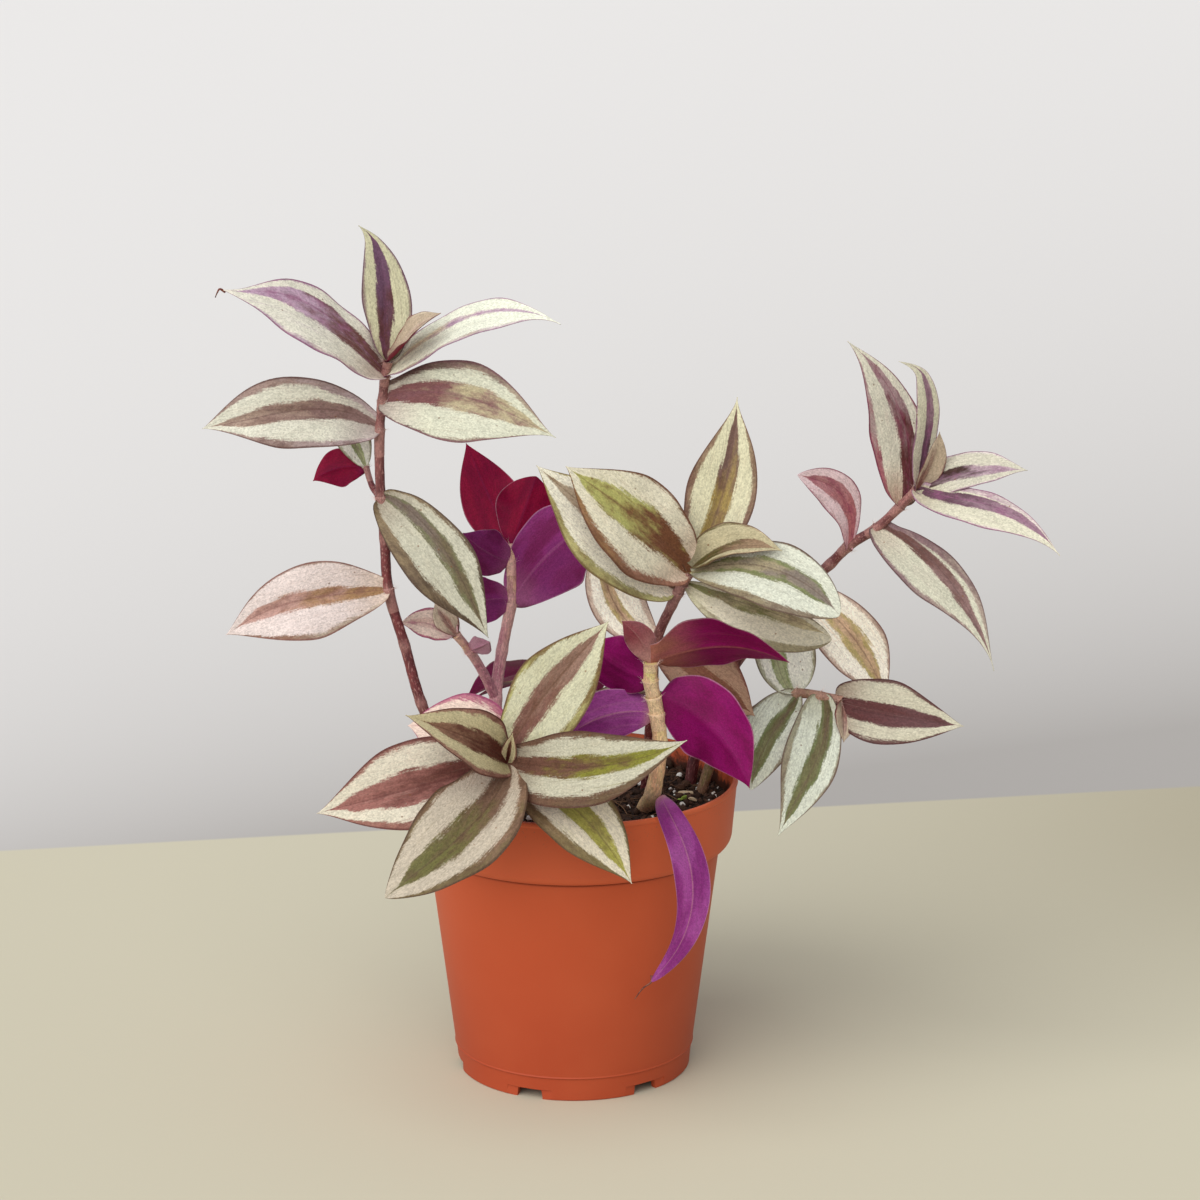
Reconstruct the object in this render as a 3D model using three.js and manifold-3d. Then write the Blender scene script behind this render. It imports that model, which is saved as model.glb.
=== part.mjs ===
// A zebra-striped trailing plant in a round plastic nursery pot, built in millimetres with +Z up.
// Eight leafy stems stand in holes in the soil, and the soil fills the pot. The plant's front faces -Y.
import * as THREE from 'three';
import { mergeVertices } from 'three/addons/utils/BufferGeometryUtils.js';
import Module from 'manifold-3d';

const { Manifold, Mesh: ManifoldMesh } = await Module().then((wasm) => {
  wasm.setup();
  return wasm;
});

// ---- Pot: the driving sizes ----
const RIM_RADIUS = 52.5;
const POT_HEIGHT = 96;
const FOOT_RADIUS = 37.4;
const SHOULDER_RADIUS = 46.8; // where the tapered body meets the collar
const SHOULDER_Z = 74.8;
const COLLAR_RADIUS = 50.5; // lower edge of the collar, before it rounds in
const COLLAR_ROUND = 3.6;
const LIP_HEIGHT = 1.3;
const LIP_STEP = 0.35;
const WALL = 1.2;
const LINE_Z = 7.5; // thin raised line round the foot
const LINE_HEIGHT = 0.8;
const LINE_PROUD = 0.45;
const CHANNEL_TOP = 4; // raised ring under the floor, where the water runs out
const CHANNEL_INNER = 25;
const CHANNEL_OUTER = FOOT_RADIUS - 2.2;
const EDGE_ROUND = 0.3; // small rounds on the lip and the raised line
const POT_SEGMENTS = 40;

// ---- Foot notches and drain holes ----
const NOTCH_COUNT = 6;
const FIRST_NOTCH = THREE.MathUtils.degToRad(-112); // from +X, so a little left of the front
const NOTCH_HEIGHT = 2.9;
const NOTCH_STEP_HEIGHT = 3.4;
const NOTCH_WIDTH = 9;
const NOTCH_STEP_WIDTH = 17;
const NOTCH_INSET = 6;
const STEP_INSET = 0.7; // the wide step only bites this deep into the wall
const DRAIN_RADIUS = 3.2;
const DRAIN_CIRCLE = 30;
const DRAIN_SIDES = 10;
const CUT_OUT = 3; // how far the cutting boxes reach past the foot
const CUT_DOWN = 1; // and below the ground

// ---- Soil ----
const GAP = 0.3; // clearance between pieces that rest against each other
const SOIL_INSET = 2.5 * GAP; // from the pot's wall, which has more facets than the soil
const SOIL_EDGE_Z = 87.6;
const SOIL_DOME = 2.2;
const SOIL_BUMP = 0.7;
const SOIL_RINGS = [11, 22, 33, 43];
const SOIL_SEGMENTS = 28;
const STEM_DEPTH = 13; // how far each stem goes down into the soil
const HOLE_SPARE = 0.2; // what a stem's hole is wider by, on top of the gap
const HOLE_ABOVE = 12; // how far a hole's cutter reaches above the stem's first node
const HOLE_SIDES = 9;

// ---- Leaves and stems ----
const BLADE = 0.8; // thickness of a leaf
const BLADE_STATIONS = 7;
const BLADE_ACROSS = 5;
const SMALL_WIDTH = 10; // narrower leaves have fewer facets
const SMALL_STATIONS = 5;
const SMALL_ACROSS = 3;
const ROOT_POWER = 0.5; // how round a leaf's base is
const ROOT_HALF_WIDTH = 1.3;
const TIP_HALF_WIDTH = 0.35;
const CUP = 0.15;
const WAVE = 0.035;
const STEM_SIDES = 6;
const NODE_SWELL = 1.35;
const SIMPLIFY = 0.02;

// ---- The leafy stems ----
// Each stem is a run of nodes, [x, y, z] from the soil up, and leaves grow at the node whose index
// they give. A leaf runs from its node (or its own root) to its tip. face is where its upper side
// looks, rise lifts its midrib that way a third and two thirds along, sway bends it sideways, belly
// is how far along it is widest, fold closes it along the midrib, and sharp draws out the tip.
const SHOOTS = [
  {
    name: 'stem_tall_left',
    colour: 0x9aa07a,
    radius: [1.8, 1.4],
    stem: [
      [-35, -8, 89], [-40, -8, 103], [-48, -7, 122], [-53, -5, 140], [-58, -4, 158], [-59, -3, 174],
      [-60, -3, 187], [-60, -4, 209], [-59, -4, 218], [-58, -5, 226], [-57, -6, 231],
    ],
    twigs: [{ radius: [1.1, 0.9], stem: [[-60, -3, 187], [-63, 2, 190], [-65, 6, 195]] }],
    leaves: [
      {
        node: 4, tip: [-107, -26, 149], width: 23.5,
        face: [0, -1, 0.3], rise: [0.03, 0.05], sway: [-0.07, -0.07], belly: 0.5,
      },
      {
        node: 6, tip: [-26, -26, 148], width: 22,
        face: [-0.15, -1, 0.5], rise: [0.08, 0.08], sway: [0.06, 0.06],
      },
      { root: [-65, 6, 195], tip: [-75, 16, 216], width: 13, face: [0, -1, 0.3], belly: 0.55 },
      {
        root: [-65, 6, 195], tip: [-82, 9, 190], width: 12,
        face: [0, 1, -0.3], sway: [0.15, 0.15], belly: 0.48,
      },
      {
        node: 7, tip: [-113, -22, 213], width: 22.5,
        face: [0.1, -1, 0.25], rise: [0.02, 0.05], sway: [-0.12, -0.12], belly: 0.48,
      },
      {
        node: 8, tip: [-5, -26, 211], width: 25.5,
        face: [0, -1, 0.45], rise: [0.1, 0.1], sway: [0.08, 0.08], sharp: 1.4,
      },
      {
        node: 9, tip: [-105, -28, 256], width: 23.5,
        face: [0.35, -0.8, 0.85], rise: [0.05, 0.1], sway: [-0.08, -0.08], sharp: 1.35,
      },
      {
        node: 9, tip: [-4, -30, 248], width: 16,
        face: [-0.35, -0.8, 1.1], rise: [0.05, 0.12], sway: [0.14, 0.14], sharp: 1.4,
      },
      {
        node: 10, tip: [-64, 4, 272], width: 15,
        face: [0.15, -1, 0.2], rise: [-0.05, 0.02], sway: [-0.09, -0.09],
      },
      {
        node: 10, tip: [-40, -18, 248], width: 12,
        face: [-0.6, -0.5, 1.1], rise: [0, 0.1], belly: 0.5, fold: 0.35,
      },
    ],
  },
  {
    name: 'stem_back_left',
    colour: 0x7a2a4a,
    radius: [2.4, 1.4],
    stem: [
      [-24, 4, 88], [-24, 8, 104], [-25, 12, 118], [-23, 16, 133], [-20, 20, 149], [-20, 24, 160],
      [-20, 27, 165],
    ],
    twigs: [
      { radius: [1.7, 1.3], stem: [[-25, 12, 118], [-29, 8, 128], [-33, 4, 136], [-37, 1, 142]] },
    ],
    leaves: [
      {
        node: 6, tip: [-35, 44, 195], width: 19,
        face: [0, 1, -0.3], rise: [0.05, 0.05], sway: [-0.01, -0.01],
      },
      { node: 6, tip: [-12, 30, 187], width: 19, face: [0, 1, -0.3], belly: 0.55, sharp: 0.75 },
      {
        root: [-20.5, 19.5, 147], tip: [7, 6, 177], width: 27,
        face: [0.2, 1, -0.4], rise: [0.1, 0.1], sway: [-0.13, -0.13], belly: 0.52, sharp: 0.85,
      },
      { node: 5, tip: [-35, 10, 173], width: 15, face: [0, 1, -0.3], sway: [-0.07, -0.07] },
      { node: 4, tip: [-35, 6, 151], width: 15, face: [0, 1, -0.3], sway: [0.03, 0.03], belly: 0.5 },
      {
        root: [-37, 1, 142], tip: [-55, 4, 145], width: 11,
        face: [0, -0.8, 0.6], sway: [-0.13, -0.13],
      },
      { root: [-33, 4, 136], tip: [-26, -8, 142], width: 7, face: [0, 1, 0], belly: 0.5 },
      { root: [-37, 1, 142], tip: [-44, 6, 151], width: 8, face: [0, -1, 0.5], belly: 0.5 },
    ],
  },
  {
    name: 'stem_front_left',
    colour: 0x8f8a6c,
    radius: [2.2, 1.8],
    stem: [[-18, -27, 88], [-20, -36, 97], [-20, -44, 107], [-20, -50, 115]],
    leaves: [
      {
        node: 3, tip: [11, -52, 160], width: 24,
        face: [-0.1, -1, 0.35], rise: [-0.02, 0.02], sway: [0.03, 0.02], belly: 0.48,
      },
      {
        node: 3, tip: [-49, -78, 138], width: 19.5,
        face: [0.2, -1, 0.7], rise: [0.1, 0.1], sway: [0.02, 0.02], belly: 0.42, fold: 0.3,
        sharp: 1.25,
      },
      {
        node: 3, tip: [-76, -76, 107], width: 29,
        face: [0, -1, 0.55], rise: [0.06, 0.08], sway: [0.02, 0.02],
      },
      {
        node: 3, tip: [-55, -92, 86], width: 28.5,
        face: [-0.2, -1, 0.7], rise: [0.12, 0.1], sway: [0.14, 0.14], belly: 0.5, sharp: 0.75,
      },
      {
        node: 3, tip: [34, -84, 132], width: 23.5,
        face: [0.1, -1, 0.5], rise: [0.06, 0.06], sway: [-0.12, -0.12], belly: 0.42,
      },
      {
        root: [-19, -47, 110], tip: [18, -70, 83], width: 22,
        face: [0.2, -1, 0.5], rise: [0.15, 0.12], sway: [0.08, 0.08], belly: 0.5,
      },
      { node: 3, tip: [-18, -56, 126], width: 5, face: [0, -1, 0.2], belly: 0.42, fold: 0.5 },
      {
        root: [-20, -44, 107], tip: [-51, -30, 121], width: 28,
        face: [0.1, -1, 0.6], rise: [0.1, 0.1], sway: [-0.17, -0.17], belly: 0.5,
      },
    ],
  },
  {
    name: 'stem_front_right',
    colour: 0x8a2560,
    radius: [2.7, 2.0],
    stem: [
      [23, -16, 91], [25, -24, 98], [27, -28, 114], [26, -30, 125], [24, -32, 136], [24, -33, 142],
    ],
    leaves: [
      {
        node: 5, tip: [66, -44, 145], width: 24,
        face: [0, 0.75, 0.65], rise: [0.18, 0.2], belly: 0.42,
      },
      {
        root: [27, -31, 131], tip: [54, -50, 107], width: 25.5,
        face: [0.3, 1, 0.1], rise: [0.06, 0.06], sway: [-0.13, -0.13], belly: 0.42,
      },
      { node: 4, tip: [4, -24, 147], width: 19, face: [0, 1, 0.3], sway: [-0.1, -0.1], belly: 0.5 },
      { node: 5, tip: [15, -40, 157], width: 9, face: [-0.3, 1, 0.2], sway: [0.1, 0.1], belly: 0.5 },
      { node: 3, tip: [-1, -30, 118], width: 16, face: [0, 1, -0.3], sway: [0.15, 0.15], belly: 0.5 },
      {
        root: [28.5, -22, 96], tip: [26, -64, 51], width: 10.5,
        face: [0.1, 1, 0], rise: [-0.68, -0.4], sway: [0.02, -0.44], belly: 0.6, sharp: 0.55,
      },
    ],
  },
  {
    name: 'stem_centre',
    colour: 0xa3a57e,
    radius: [1.9, 1.5],
    stem: [[23, 6, 86], [24, 0, 106], [25, -4, 122], [26, -6, 141], [31, -11, 155], [36, -15, 166]],
    leaves: [
      {
        node: 5, tip: [51, -2, 219], width: 21.5,
        face: [0, -1, 0.3], rise: [-0.02, 0.02], sway: [-0.09, -0.06], belly: 0.47, sharp: 1.45,
      },
      { node: 5, tip: [-2, -30, 203], width: 29, face: [0.15, -1, 0.4], rise: [0.04, 0.06] },
      {
        root: [32, -11, 160], tip: [-11, -24, 202], width: 26.5,
        face: [0.15, -1, 0.3], rise: [0.02, 0.02], sway: [0.02, 0.02], belly: 0.42,
      },
      {
        root: [37, -16, 168], tip: [64, -32, 177], width: 13,
        face: [0.1, -1, 0.9], rise: [0.1, 0.1], sway: [0.2, 0.16], belly: 0.4, fold: 0.35,
      },
      {
        root: [37, -16, 166], tip: [81, -42, 159], width: 21.5,
        face: [0, -1, 0.6], rise: [0.1, 0.12], sway: [0.13, 0.13], belly: 0.56, sharp: 0.62,
      },
      {
        root: [35, -13, 162], tip: [80, -24, 147], width: 16.5,
        face: [0, -1, 0.5], rise: [0.08, 0.1], sway: [-0.1, -0.1], belly: 0.56, sharp: 0.65,
      },
      { node: 3, tip: [10, 6, 173], width: 18, face: [0, -1, 0.2], sway: [0.18, 0.18], belly: 0.5 },
      { node: 3, tip: [57, -12, 119], width: 20, face: [-0.1, -1, 0.7], rise: [0.1, 0.1], belly: 0.5 },
    ],
  },
  {
    name: 'stem_right_tall',
    colour: 0x9c8f78,
    radius: [2.1, 1.6],
    stem: [
      [37, 16, 85], [42, 20, 109], [55, 22, 131], [73, 20, 152], [82, 18, 161], [88, 15, 168],
      [96, 12, 174], [103, 8, 182], [108, 5, 188],
    ],
    leaves: [
      {
        node: 7, tip: [87, 8, 234], width: 18,
        face: [0.35, -1, 0.1], rise: [-0.05, 0.02], sway: [-0.15, -0.15], belly: 0.4,
      },
      {
        node: 8, tip: [105, -4, 232], width: 8.5,
        face: [0.4, -1, 0.1], rise: [-0.1, 0.1], sway: [-0.09, -0.15], belly: 0.5, sharp: 0.9,
      },
      { node: 8, tip: [115, -2, 208], width: 8, face: [0.3, -1, 0.1], sway: [-0.1, -0.1], fold: 0.4 },
      {
        node: 8, tip: [141, -8, 197], width: 14,
        face: [-0.2, -1, 0.9], rise: [0.06, 0.08], sway: [0.08, 0.08], belly: 0.42,
      },
      {
        node: 8, tip: [149, -30, 175], width: 13.5,
        face: [0, -1, 0.9], rise: [0.1, 0.14], sway: [-0.09, 0.1], belly: 0.42, sharp: 1.3,
      },
      {
        node: 6, tip: [130, -28, 138], width: 17,
        face: [0.1, -1, 0.5], rise: [0.1, 0.08], sway: [0.01, 0.15], belly: 0.4, sharp: 1.8,
      },
      {
        root: [87, 14, 167], tip: [70, -2, 194.3], width: 12.5,
        face: [0.15, -1, 0.25], sway: [-0.27, -0.27], belly: 0.58, sharp: 0.8, fold: 0.15,
      },
      {
        node: 3, tip: [100, 8, 119], width: 20.5,
        face: [0, -1, 0.4], rise: [0.06, 0.06], sway: [0.07, 0.07], belly: 0.5,
      },
    ],
  },
  {
    name: 'stem_right_low',
    colour: 0x8d9c80,
    radius: [1.8, 1.4],
    stem: [[41, 6, 89], [46, 6, 103], [58, 5, 116], [71, 0, 123], [78, -3, 123], [85, -5, 122]],
    leaves: [
      {
        root: [83, -4, 122], tip: [122, -20, 118], width: 20.5,
        face: [0, -1, 0.35], rise: [0.05, 0.06], sway: [-0.03, -0.03], belly: 0.38, sharp: 1.1,
      },
      { node: 5, tip: [85, -14, 111], width: 6, face: [0.5, -1, 0.2], fold: 0.5 },
      {
        node: 4, tip: [64, -26, 84], width: 17.5,
        face: [-0.1, -1, 0.3], rise: [0.1, 0.08], sway: [0.09, 0.09], belly: 0.42,
      },
      {
        node: 3, tip: [56, -16, 96], width: 18,
        face: [-0.2, -1, 0.4], rise: [0.1, 0.08], sway: [-0.1, -0.1], belly: 0.5, sharp: 0.75,
      },
      { node: 3, tip: [66, 12, 149], width: 20, face: [0, -1, 0.2], sway: [0.07, 0.07] },
    ],
  },
  {
    name: 'stem_rear',
    colour: 0x93a07c,
    radius: [2.0, 1.6],
    stem: [[-4, 24, 88], [-3, 34, 99], [0, 44, 108], [3, 54, 113], [4, 62, 114]],
    leaves: [
      { node: 4, tip: [-38, 88, 96], width: 23, face: [0, 0.5, 1], rise: [0.1, 0.16] },
      { node: 4, tip: [48, 92, 104], width: 24, face: [0, 0.5, 1], rise: [0.1, 0.16] },
      { node: 4, tip: [8, 110, 92], width: 23, face: [0, 0.3, 1], rise: [0.14, 0.2] },
      { node: 3, tip: [-34, 62, 104], width: 18, face: [0, 0.2, 1], rise: [0.08, 0.1] },
      { node: 2, tip: [46, 58, 102], width: 20, face: [0, 0.2, 1], rise: [0.1, 0.1] },
      { node: 1, tip: [-42, 66, 84], width: 20, face: [-0.2, 0.6, 1], rise: [0.24, 0.2] },
      { node: 4, tip: [8, 74, 122], width: 6, face: [0, 1, 0.5], fold: 0.5 },
    ],
  },
];

// ---- Helpers ----

// Repeatable random numbers from 0 to 1.
function seeded(seed) {
  let state = seed;
  return () => {
    state = (state * 1664525 + 1013904223) % 4294967296;
    return state / 4294967296;
  };
}

const vec = (xyz) => new THREE.Vector3(...xyz);

// A closed solid that can be joined and cut, from a closed geometry.
function toSolid(geometry) {
  const bare = geometry.clone();
  bare.deleteAttribute('normal');
  bare.deleteAttribute('uv');
  const merged = mergeVertices(bare, 1e-4);
  return new Manifold(new ManifoldMesh({
    numProp: 3,
    vertProperties: new Float32Array(merged.attributes.position.array),
    triVerts: new Uint32Array(merged.index.array),
  }));
}

// The geometry of a solid.
function toGeometry(solid) {
  const mesh = solid.getMesh();
  const geometry = new THREE.BufferGeometry();
  geometry.setAttribute('position', new THREE.BufferAttribute(mesh.vertProperties, 3));
  geometry.setIndex(new THREE.BufferAttribute(mesh.triVerts, 1));
  geometry.computeVertexNormals();
  return geometry;
}

function indexed(points, index) {
  const geometry = new THREE.BufferGeometry();
  geometry.setFromPoints(points);
  geometry.setIndex(index);
  return geometry;
}

// ---- Pot ----

// The taper of the body's outside at height z.
function bodyRadius(z) {
  return THREE.MathUtils.lerp(FOOT_RADIUS, SHOULDER_RADIUS, z / SHOULDER_Z);
}

// The inside radius of the pot at height z, which the soil follows.
function insideRadius(z) {
  const shelf = SHOULDER_Z + WALL;
  if (z <= shelf) return bodyRadius(Math.min(z, SHOULDER_Z)) - WALL;
  const collarFoot = shelf + COLLAR_ROUND;
  const low = COLLAR_RADIUS - WALL;
  if (z < collarFoot) {
    return THREE.MathUtils.mapLinear(z, shelf, collarFoot, SHOULDER_RADIUS - WALL, low);
  }
  return THREE.MathUtils.mapLinear(z, collarFoot, POT_HEIGHT, low, RIM_RADIUS - LIP_STEP - WALL);
}

// The round that leads from the body's shoulder out to the side of the collar.
function collarRound() {
  const from = new THREE.Vector2(SHOULDER_RADIUS, SHOULDER_Z);
  const corner = new THREE.Vector2(COLLAR_RADIUS, SHOULDER_Z + EDGE_ROUND / 2);
  const to = new THREE.Vector2(COLLAR_RADIUS + EDGE_ROUND / 2, SHOULDER_Z + COLLAR_ROUND);
  return new THREE.QuadraticBezierCurve(from, corner, to).getPoints(3);
}

// Half section of the pot, from the middle of its underside round to the middle of its floor.
function potProfile() {
  const lineTop = LINE_Z + LINE_HEIGHT;
  const lipZ = POT_HEIGHT - LIP_HEIGHT;
  const outside = [
    [0, 0],
    [CHANNEL_INNER - 1, 0],
    [CHANNEL_INNER, CHANNEL_TOP],
    [CHANNEL_OUTER - EDGE_ROUND, CHANNEL_TOP],
    [CHANNEL_OUTER, 0],
    [FOOT_RADIUS, 0],
    [bodyRadius(LINE_Z), LINE_Z],
    [bodyRadius(LINE_Z) + LINE_PROUD, LINE_Z + EDGE_ROUND / 2],
    [bodyRadius(lineTop) + LINE_PROUD, lineTop - EDGE_ROUND / 2],
    [bodyRadius(lineTop), lineTop],
  ].map(([r, z]) => new THREE.Vector2(r, z));
  const rim = [
    [RIM_RADIUS - LIP_STEP, lipZ - EDGE_ROUND],
    [RIM_RADIUS, lipZ],
    [RIM_RADIUS, POT_HEIGHT - EDGE_ROUND],
    [RIM_RADIUS - EDGE_ROUND, POT_HEIGHT],
    [insideRadius(POT_HEIGHT) + EDGE_ROUND, POT_HEIGHT],
    [insideRadius(POT_HEIGHT - EDGE_ROUND), POT_HEIGHT - EDGE_ROUND],
    [COLLAR_RADIUS - WALL, SHOULDER_Z + WALL + COLLAR_ROUND],
    [SHOULDER_RADIUS - WALL, SHOULDER_Z + WALL],
    [insideRadius(SHOULDER_Z), SHOULDER_Z],
    [insideRadius(CHANNEL_TOP + WALL), CHANNEL_TOP + WALL],
    [CHANNEL_INNER - WALL, CHANNEL_TOP + WALL],
    [CHANNEL_INNER - 1 - WALL, WALL],
    [0, WALL],
  ].map(([r, z]) => new THREE.Vector2(r, z));
  return [...outside, ...collarRound(), ...rim];
}

// A box standing on the ground at the foot, turned to the given direction.
function footBox(direction, width, height, innerRadius) {
  const depth = FOOT_RADIUS + CUT_OUT - innerRadius;
  const box = new THREE.BoxGeometry(depth, width, height + CUT_DOWN);
  box.translate(innerRadius + depth / 2, 0, (height - CUT_DOWN) / 2);
  box.rotateZ(direction);
  return toSolid(box);
}

// What is cut from the foot: stepped notches, and drain holes in the channel between them.
function footCuts() {
  const cuts = [];
  for (let i = 0; i < NOTCH_COUNT; i += 1) {
    const direction = FIRST_NOTCH + (i * 2 * Math.PI) / NOTCH_COUNT;
    cuts.push(footBox(direction, NOTCH_WIDTH, NOTCH_HEIGHT, FOOT_RADIUS - NOTCH_INSET));
    cuts.push(footBox(direction, NOTCH_STEP_WIDTH, NOTCH_STEP_HEIGHT, FOOT_RADIUS - STEP_INSET));
    const drain = new THREE.CylinderGeometry(DRAIN_RADIUS, DRAIN_RADIUS, 4 * WALL, DRAIN_SIDES);
    drain.rotateX(Math.PI / 2);
    drain.translate(DRAIN_CIRCLE, 0, CHANNEL_TOP);
    drain.rotateZ(direction + Math.PI / NOTCH_COUNT);
    cuts.push(toSolid(drain));
  }
  return cuts;
}

function potGeometry() {
  const turned = new THREE.LatheGeometry(potProfile(), POT_SEGMENTS);
  turned.rotateX(Math.PI / 2);
  return toGeometry(Manifold.difference([toSolid(turned), ...footCuts()]));
}

// ---- Soil ----

// Height of the soil's crumbly top at a place on it.
function soilHeight(x, y) {
  const edge = insideRadius(SOIL_EDGE_Z);
  const dome = SOIL_DOME * Math.max(0, 1 - (x * x + y * y) / (edge * edge));
  const waves = Math.sin(0.19 * x + 0.31 * y + 1.1) + Math.sin(0.27 * x - 0.16 * y + 2.3);
  return SOIL_EDGE_Z + dome + SOIL_BUMP * 0.5 * waves * Math.min(1, dome + 0.4);
}

function ringPoints(radius, heightAt) {
  return Array.from({ length: SOIL_SEGMENTS }, (_, i) => {
    const turn = (i * 2 * Math.PI) / SOIL_SEGMENTS;
    const x = radius * Math.cos(turn);
    const y = radius * Math.sin(turn);
    return new THREE.Vector3(x, y, heightAt(x, y));
  });
}

// Closes a stack of rings into a solid, with a fan at each end round its middle point.
function stackRings(rings, firstMiddle, lastMiddle) {
  const count = rings[0].length;
  const points = [...rings.flat(), firstMiddle, lastMiddle];
  const first = points.length - 2;
  const last = points.length - 1;
  const index = [];
  for (let i = 0; i < count; i += 1) {
    const next = (i + 1) % count;
    index.push(first, next, i);
    const end = (rings.length - 1) * count;
    index.push(last, end + i, end + next);
    for (let k = 0; k < rings.length - 1; k += 1) {
      const low = k * count;
      const high = low + count;
      index.push(low + i, low + next, high + next, low + i, high + next, high + i);
    }
  }
  return indexed(points, index);
}

// The soil as it fills the pot, before the holes for the stems.
function soilBlock() {
  const bottom = CHANNEL_TOP + WALL + GAP;
  const shelf = SHOULDER_Z + WALL;
  const sideLevels = [bottom, shelf - GAP, shelf + COLLAR_ROUND + GAP];
  const side = sideLevels.map((z) => ringPoints(insideRadius(z) - SOIL_INSET, () => z));
  const edge = ringPoints(insideRadius(SOIL_EDGE_Z) - SOIL_INSET, soilHeight);
  const top = [...SOIL_RINGS].reverse().map((radius) => ringPoints(radius, soilHeight));
  const under = new THREE.Vector3(0, 0, bottom);
  const crown = new THREE.Vector3(0, 0, soilHeight(0, 0));
  return stackRings([...side, edge, ...top], under, crown);
}

// The point where a stem ends down in the soil, straight on below its first node.
function buriedEnd(stem) {
  const foot = vec(stem[0]);
  const down = foot.clone().sub(vec(stem[1])).normalize();
  return foot.addScaledVector(down, STEM_DEPTH);
}

// A plain round hole for a stem, a little wider and deeper than the stem.
function stemHole(shoot) {
  const end = buriedEnd(shoot.stem);
  const foot = vec(shoot.stem[0]);
  const along = foot.clone().sub(end).normalize();
  const radius = shoot.radius[0] + GAP + HOLE_SPARE;
  const length = STEM_DEPTH + GAP + HOLE_ABOVE;
  const hole = new THREE.CylinderGeometry(radius, radius, length, HOLE_SIDES);
  hole.translate(0, length / 2, 0);
  hole.applyQuaternion(new THREE.Quaternion().setFromUnitVectors(new THREE.Vector3(0, 1, 0), along));
  const start = end.addScaledVector(along, -GAP);
  hole.translate(start.x, start.y, start.z);
  return toSolid(hole);
}

function soilGeometry() {
  return toGeometry(Manifold.difference([toSolid(soilBlock()), ...SHOOTS.map(stemHole)]));
}

// ---- Stems ----

// Places along a stem: each node is swollen, and the length above it is slim.
function stemStations(points, radius) {
  const path = new THREE.CatmullRomCurve3(points, false, 'centripetal');
  const spans = points.length - 1;
  const stations = [];
  for (let i = 0; i < spans; i += 1) {
    for (const part of [0, 0.3]) {
      const at = (i + part) / spans;
      const swell = part === 0 && i > 1 ? NODE_SWELL : 1;
      stations.push({ at, radius: THREE.MathUtils.lerp(radius[0], radius[1], at) * swell });
    }
  }
  stations.push({ at: 1, radius: radius[1] });
  return stations.map((s) => ({ ...s, point: path.getPoint(s.at), along: path.getTangent(s.at) }));
}

// A round-sided solid along a stem, with its rings kept from twisting.
function stemGeometry(points, radius) {
  const stations = stemStations(points, radius);
  let side = new THREE.Vector3(1, 0, 0);
  const rings = stations.map(({ point, along, radius: r }) => {
    side = side.clone().addScaledVector(along, -side.dot(along)).normalize();
    const other = along.clone().cross(side);
    return Array.from({ length: STEM_SIDES }, (_, i) => {
      const turn = (i * 2 * Math.PI) / STEM_SIDES;
      return point.clone()
        .addScaledVector(side, r * Math.cos(turn))
        .addScaledVector(other, r * Math.sin(turn));
    });
  });
  return stackRings(rings, stations[0].point, stations[stations.length - 1].point);
}

// ---- Leaves ----

// Half the width of a leaf as a share of its widest half, from root (0) to tip (1).
function outline(along, belly, sharp) {
  const skew = Math.log(0.5) / Math.log(belly);
  const round = Math.sin(Math.PI * along ** skew);
  return Math.max(round, 0) ** THREE.MathUtils.lerp(ROOT_POWER, sharp, along);
}

// The frame of a leaf: root, tip, the way it points, where its face looks, and its side.
function leafFrame(leaf, stem) {
  const root = vec(leaf.root ?? stem[leaf.node]);
  const tip = vec(leaf.tip);
  const chord = tip.clone().sub(root);
  const along = chord.clone().normalize();
  const face = vec(leaf.face);
  face.addScaledVector(along, -face.dot(along)).normalize();
  return { root, tip, length: chord.length(), along, face, side: face.clone().cross(along) };
}

// The midrib as a curve.
function midrib({ root, tip, length, along, face, side }, rise, sway) {
  const control = (part, up, across) => root.clone()
    .addScaledVector(along, length * part)
    .addScaledVector(face, length * up)
    .addScaledVector(side, length * across);
  return new THREE.CubicBezierCurve3(
    root,
    control(1 / 3, rise[0], sway[0]),
    control(2 / 3, rise[1], sway[1]),
    tip,
  );
}

// A leaf blade as a closed solid: its upper and under faces are the same grid, split alike.
function leafGeometry(leaf, stem, random) {
  const { rise = [0, 0], sway = [0, 0], belly = 0.45, sharp = 1.15, fold = 0, width } = leaf;
  const frame = leafFrame(leaf, stem);
  const curve = midrib(frame, rise, sway);
  const stations = width < SMALL_WIDTH ? SMALL_STATIONS : BLADE_STATIONS;
  const across = width < SMALL_WIDTH ? SMALL_ACROSS : BLADE_ACROSS;
  const phase = 2 * Math.PI * random();
  const upper = [];
  const under = [];
  for (let k = 0; k < stations; k += 1) {
    const u = k / (stations - 1);
    const along = curve.getTangent(u);
    const face = frame.face.clone().addScaledVector(along, -frame.face.dot(along)).normalize();
    const side = face.clone().cross(along);
    const least = THREE.MathUtils.lerp(ROOT_HALF_WIDTH, TIP_HALF_WIDTH, Math.min(1, 3 * u));
    const half = Math.max((width / 2) * outline(u, belly, sharp), least);
    for (let i = 0; i < across; i += 1) {
      const v = -1 + (2 * i) / (across - 1);
      const shape = CUP * v * v + fold * Math.abs(v) * (1 - 0.6 * u);
      const wave = WAVE * v * Math.abs(v) * Math.sin(3 * Math.PI * u + phase);
      const middle = curve.getPoint(u).addScaledVector(side, half * v);
      middle.addScaledVector(face, half * (shape + 2 * wave));
      upper.push(middle.clone().addScaledVector(face, BLADE / 2));
      under.push(middle.clone().addScaledVector(face, -BLADE / 2));
    }
  }
  return closeBlade(upper, under, stations, across);
}

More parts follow.
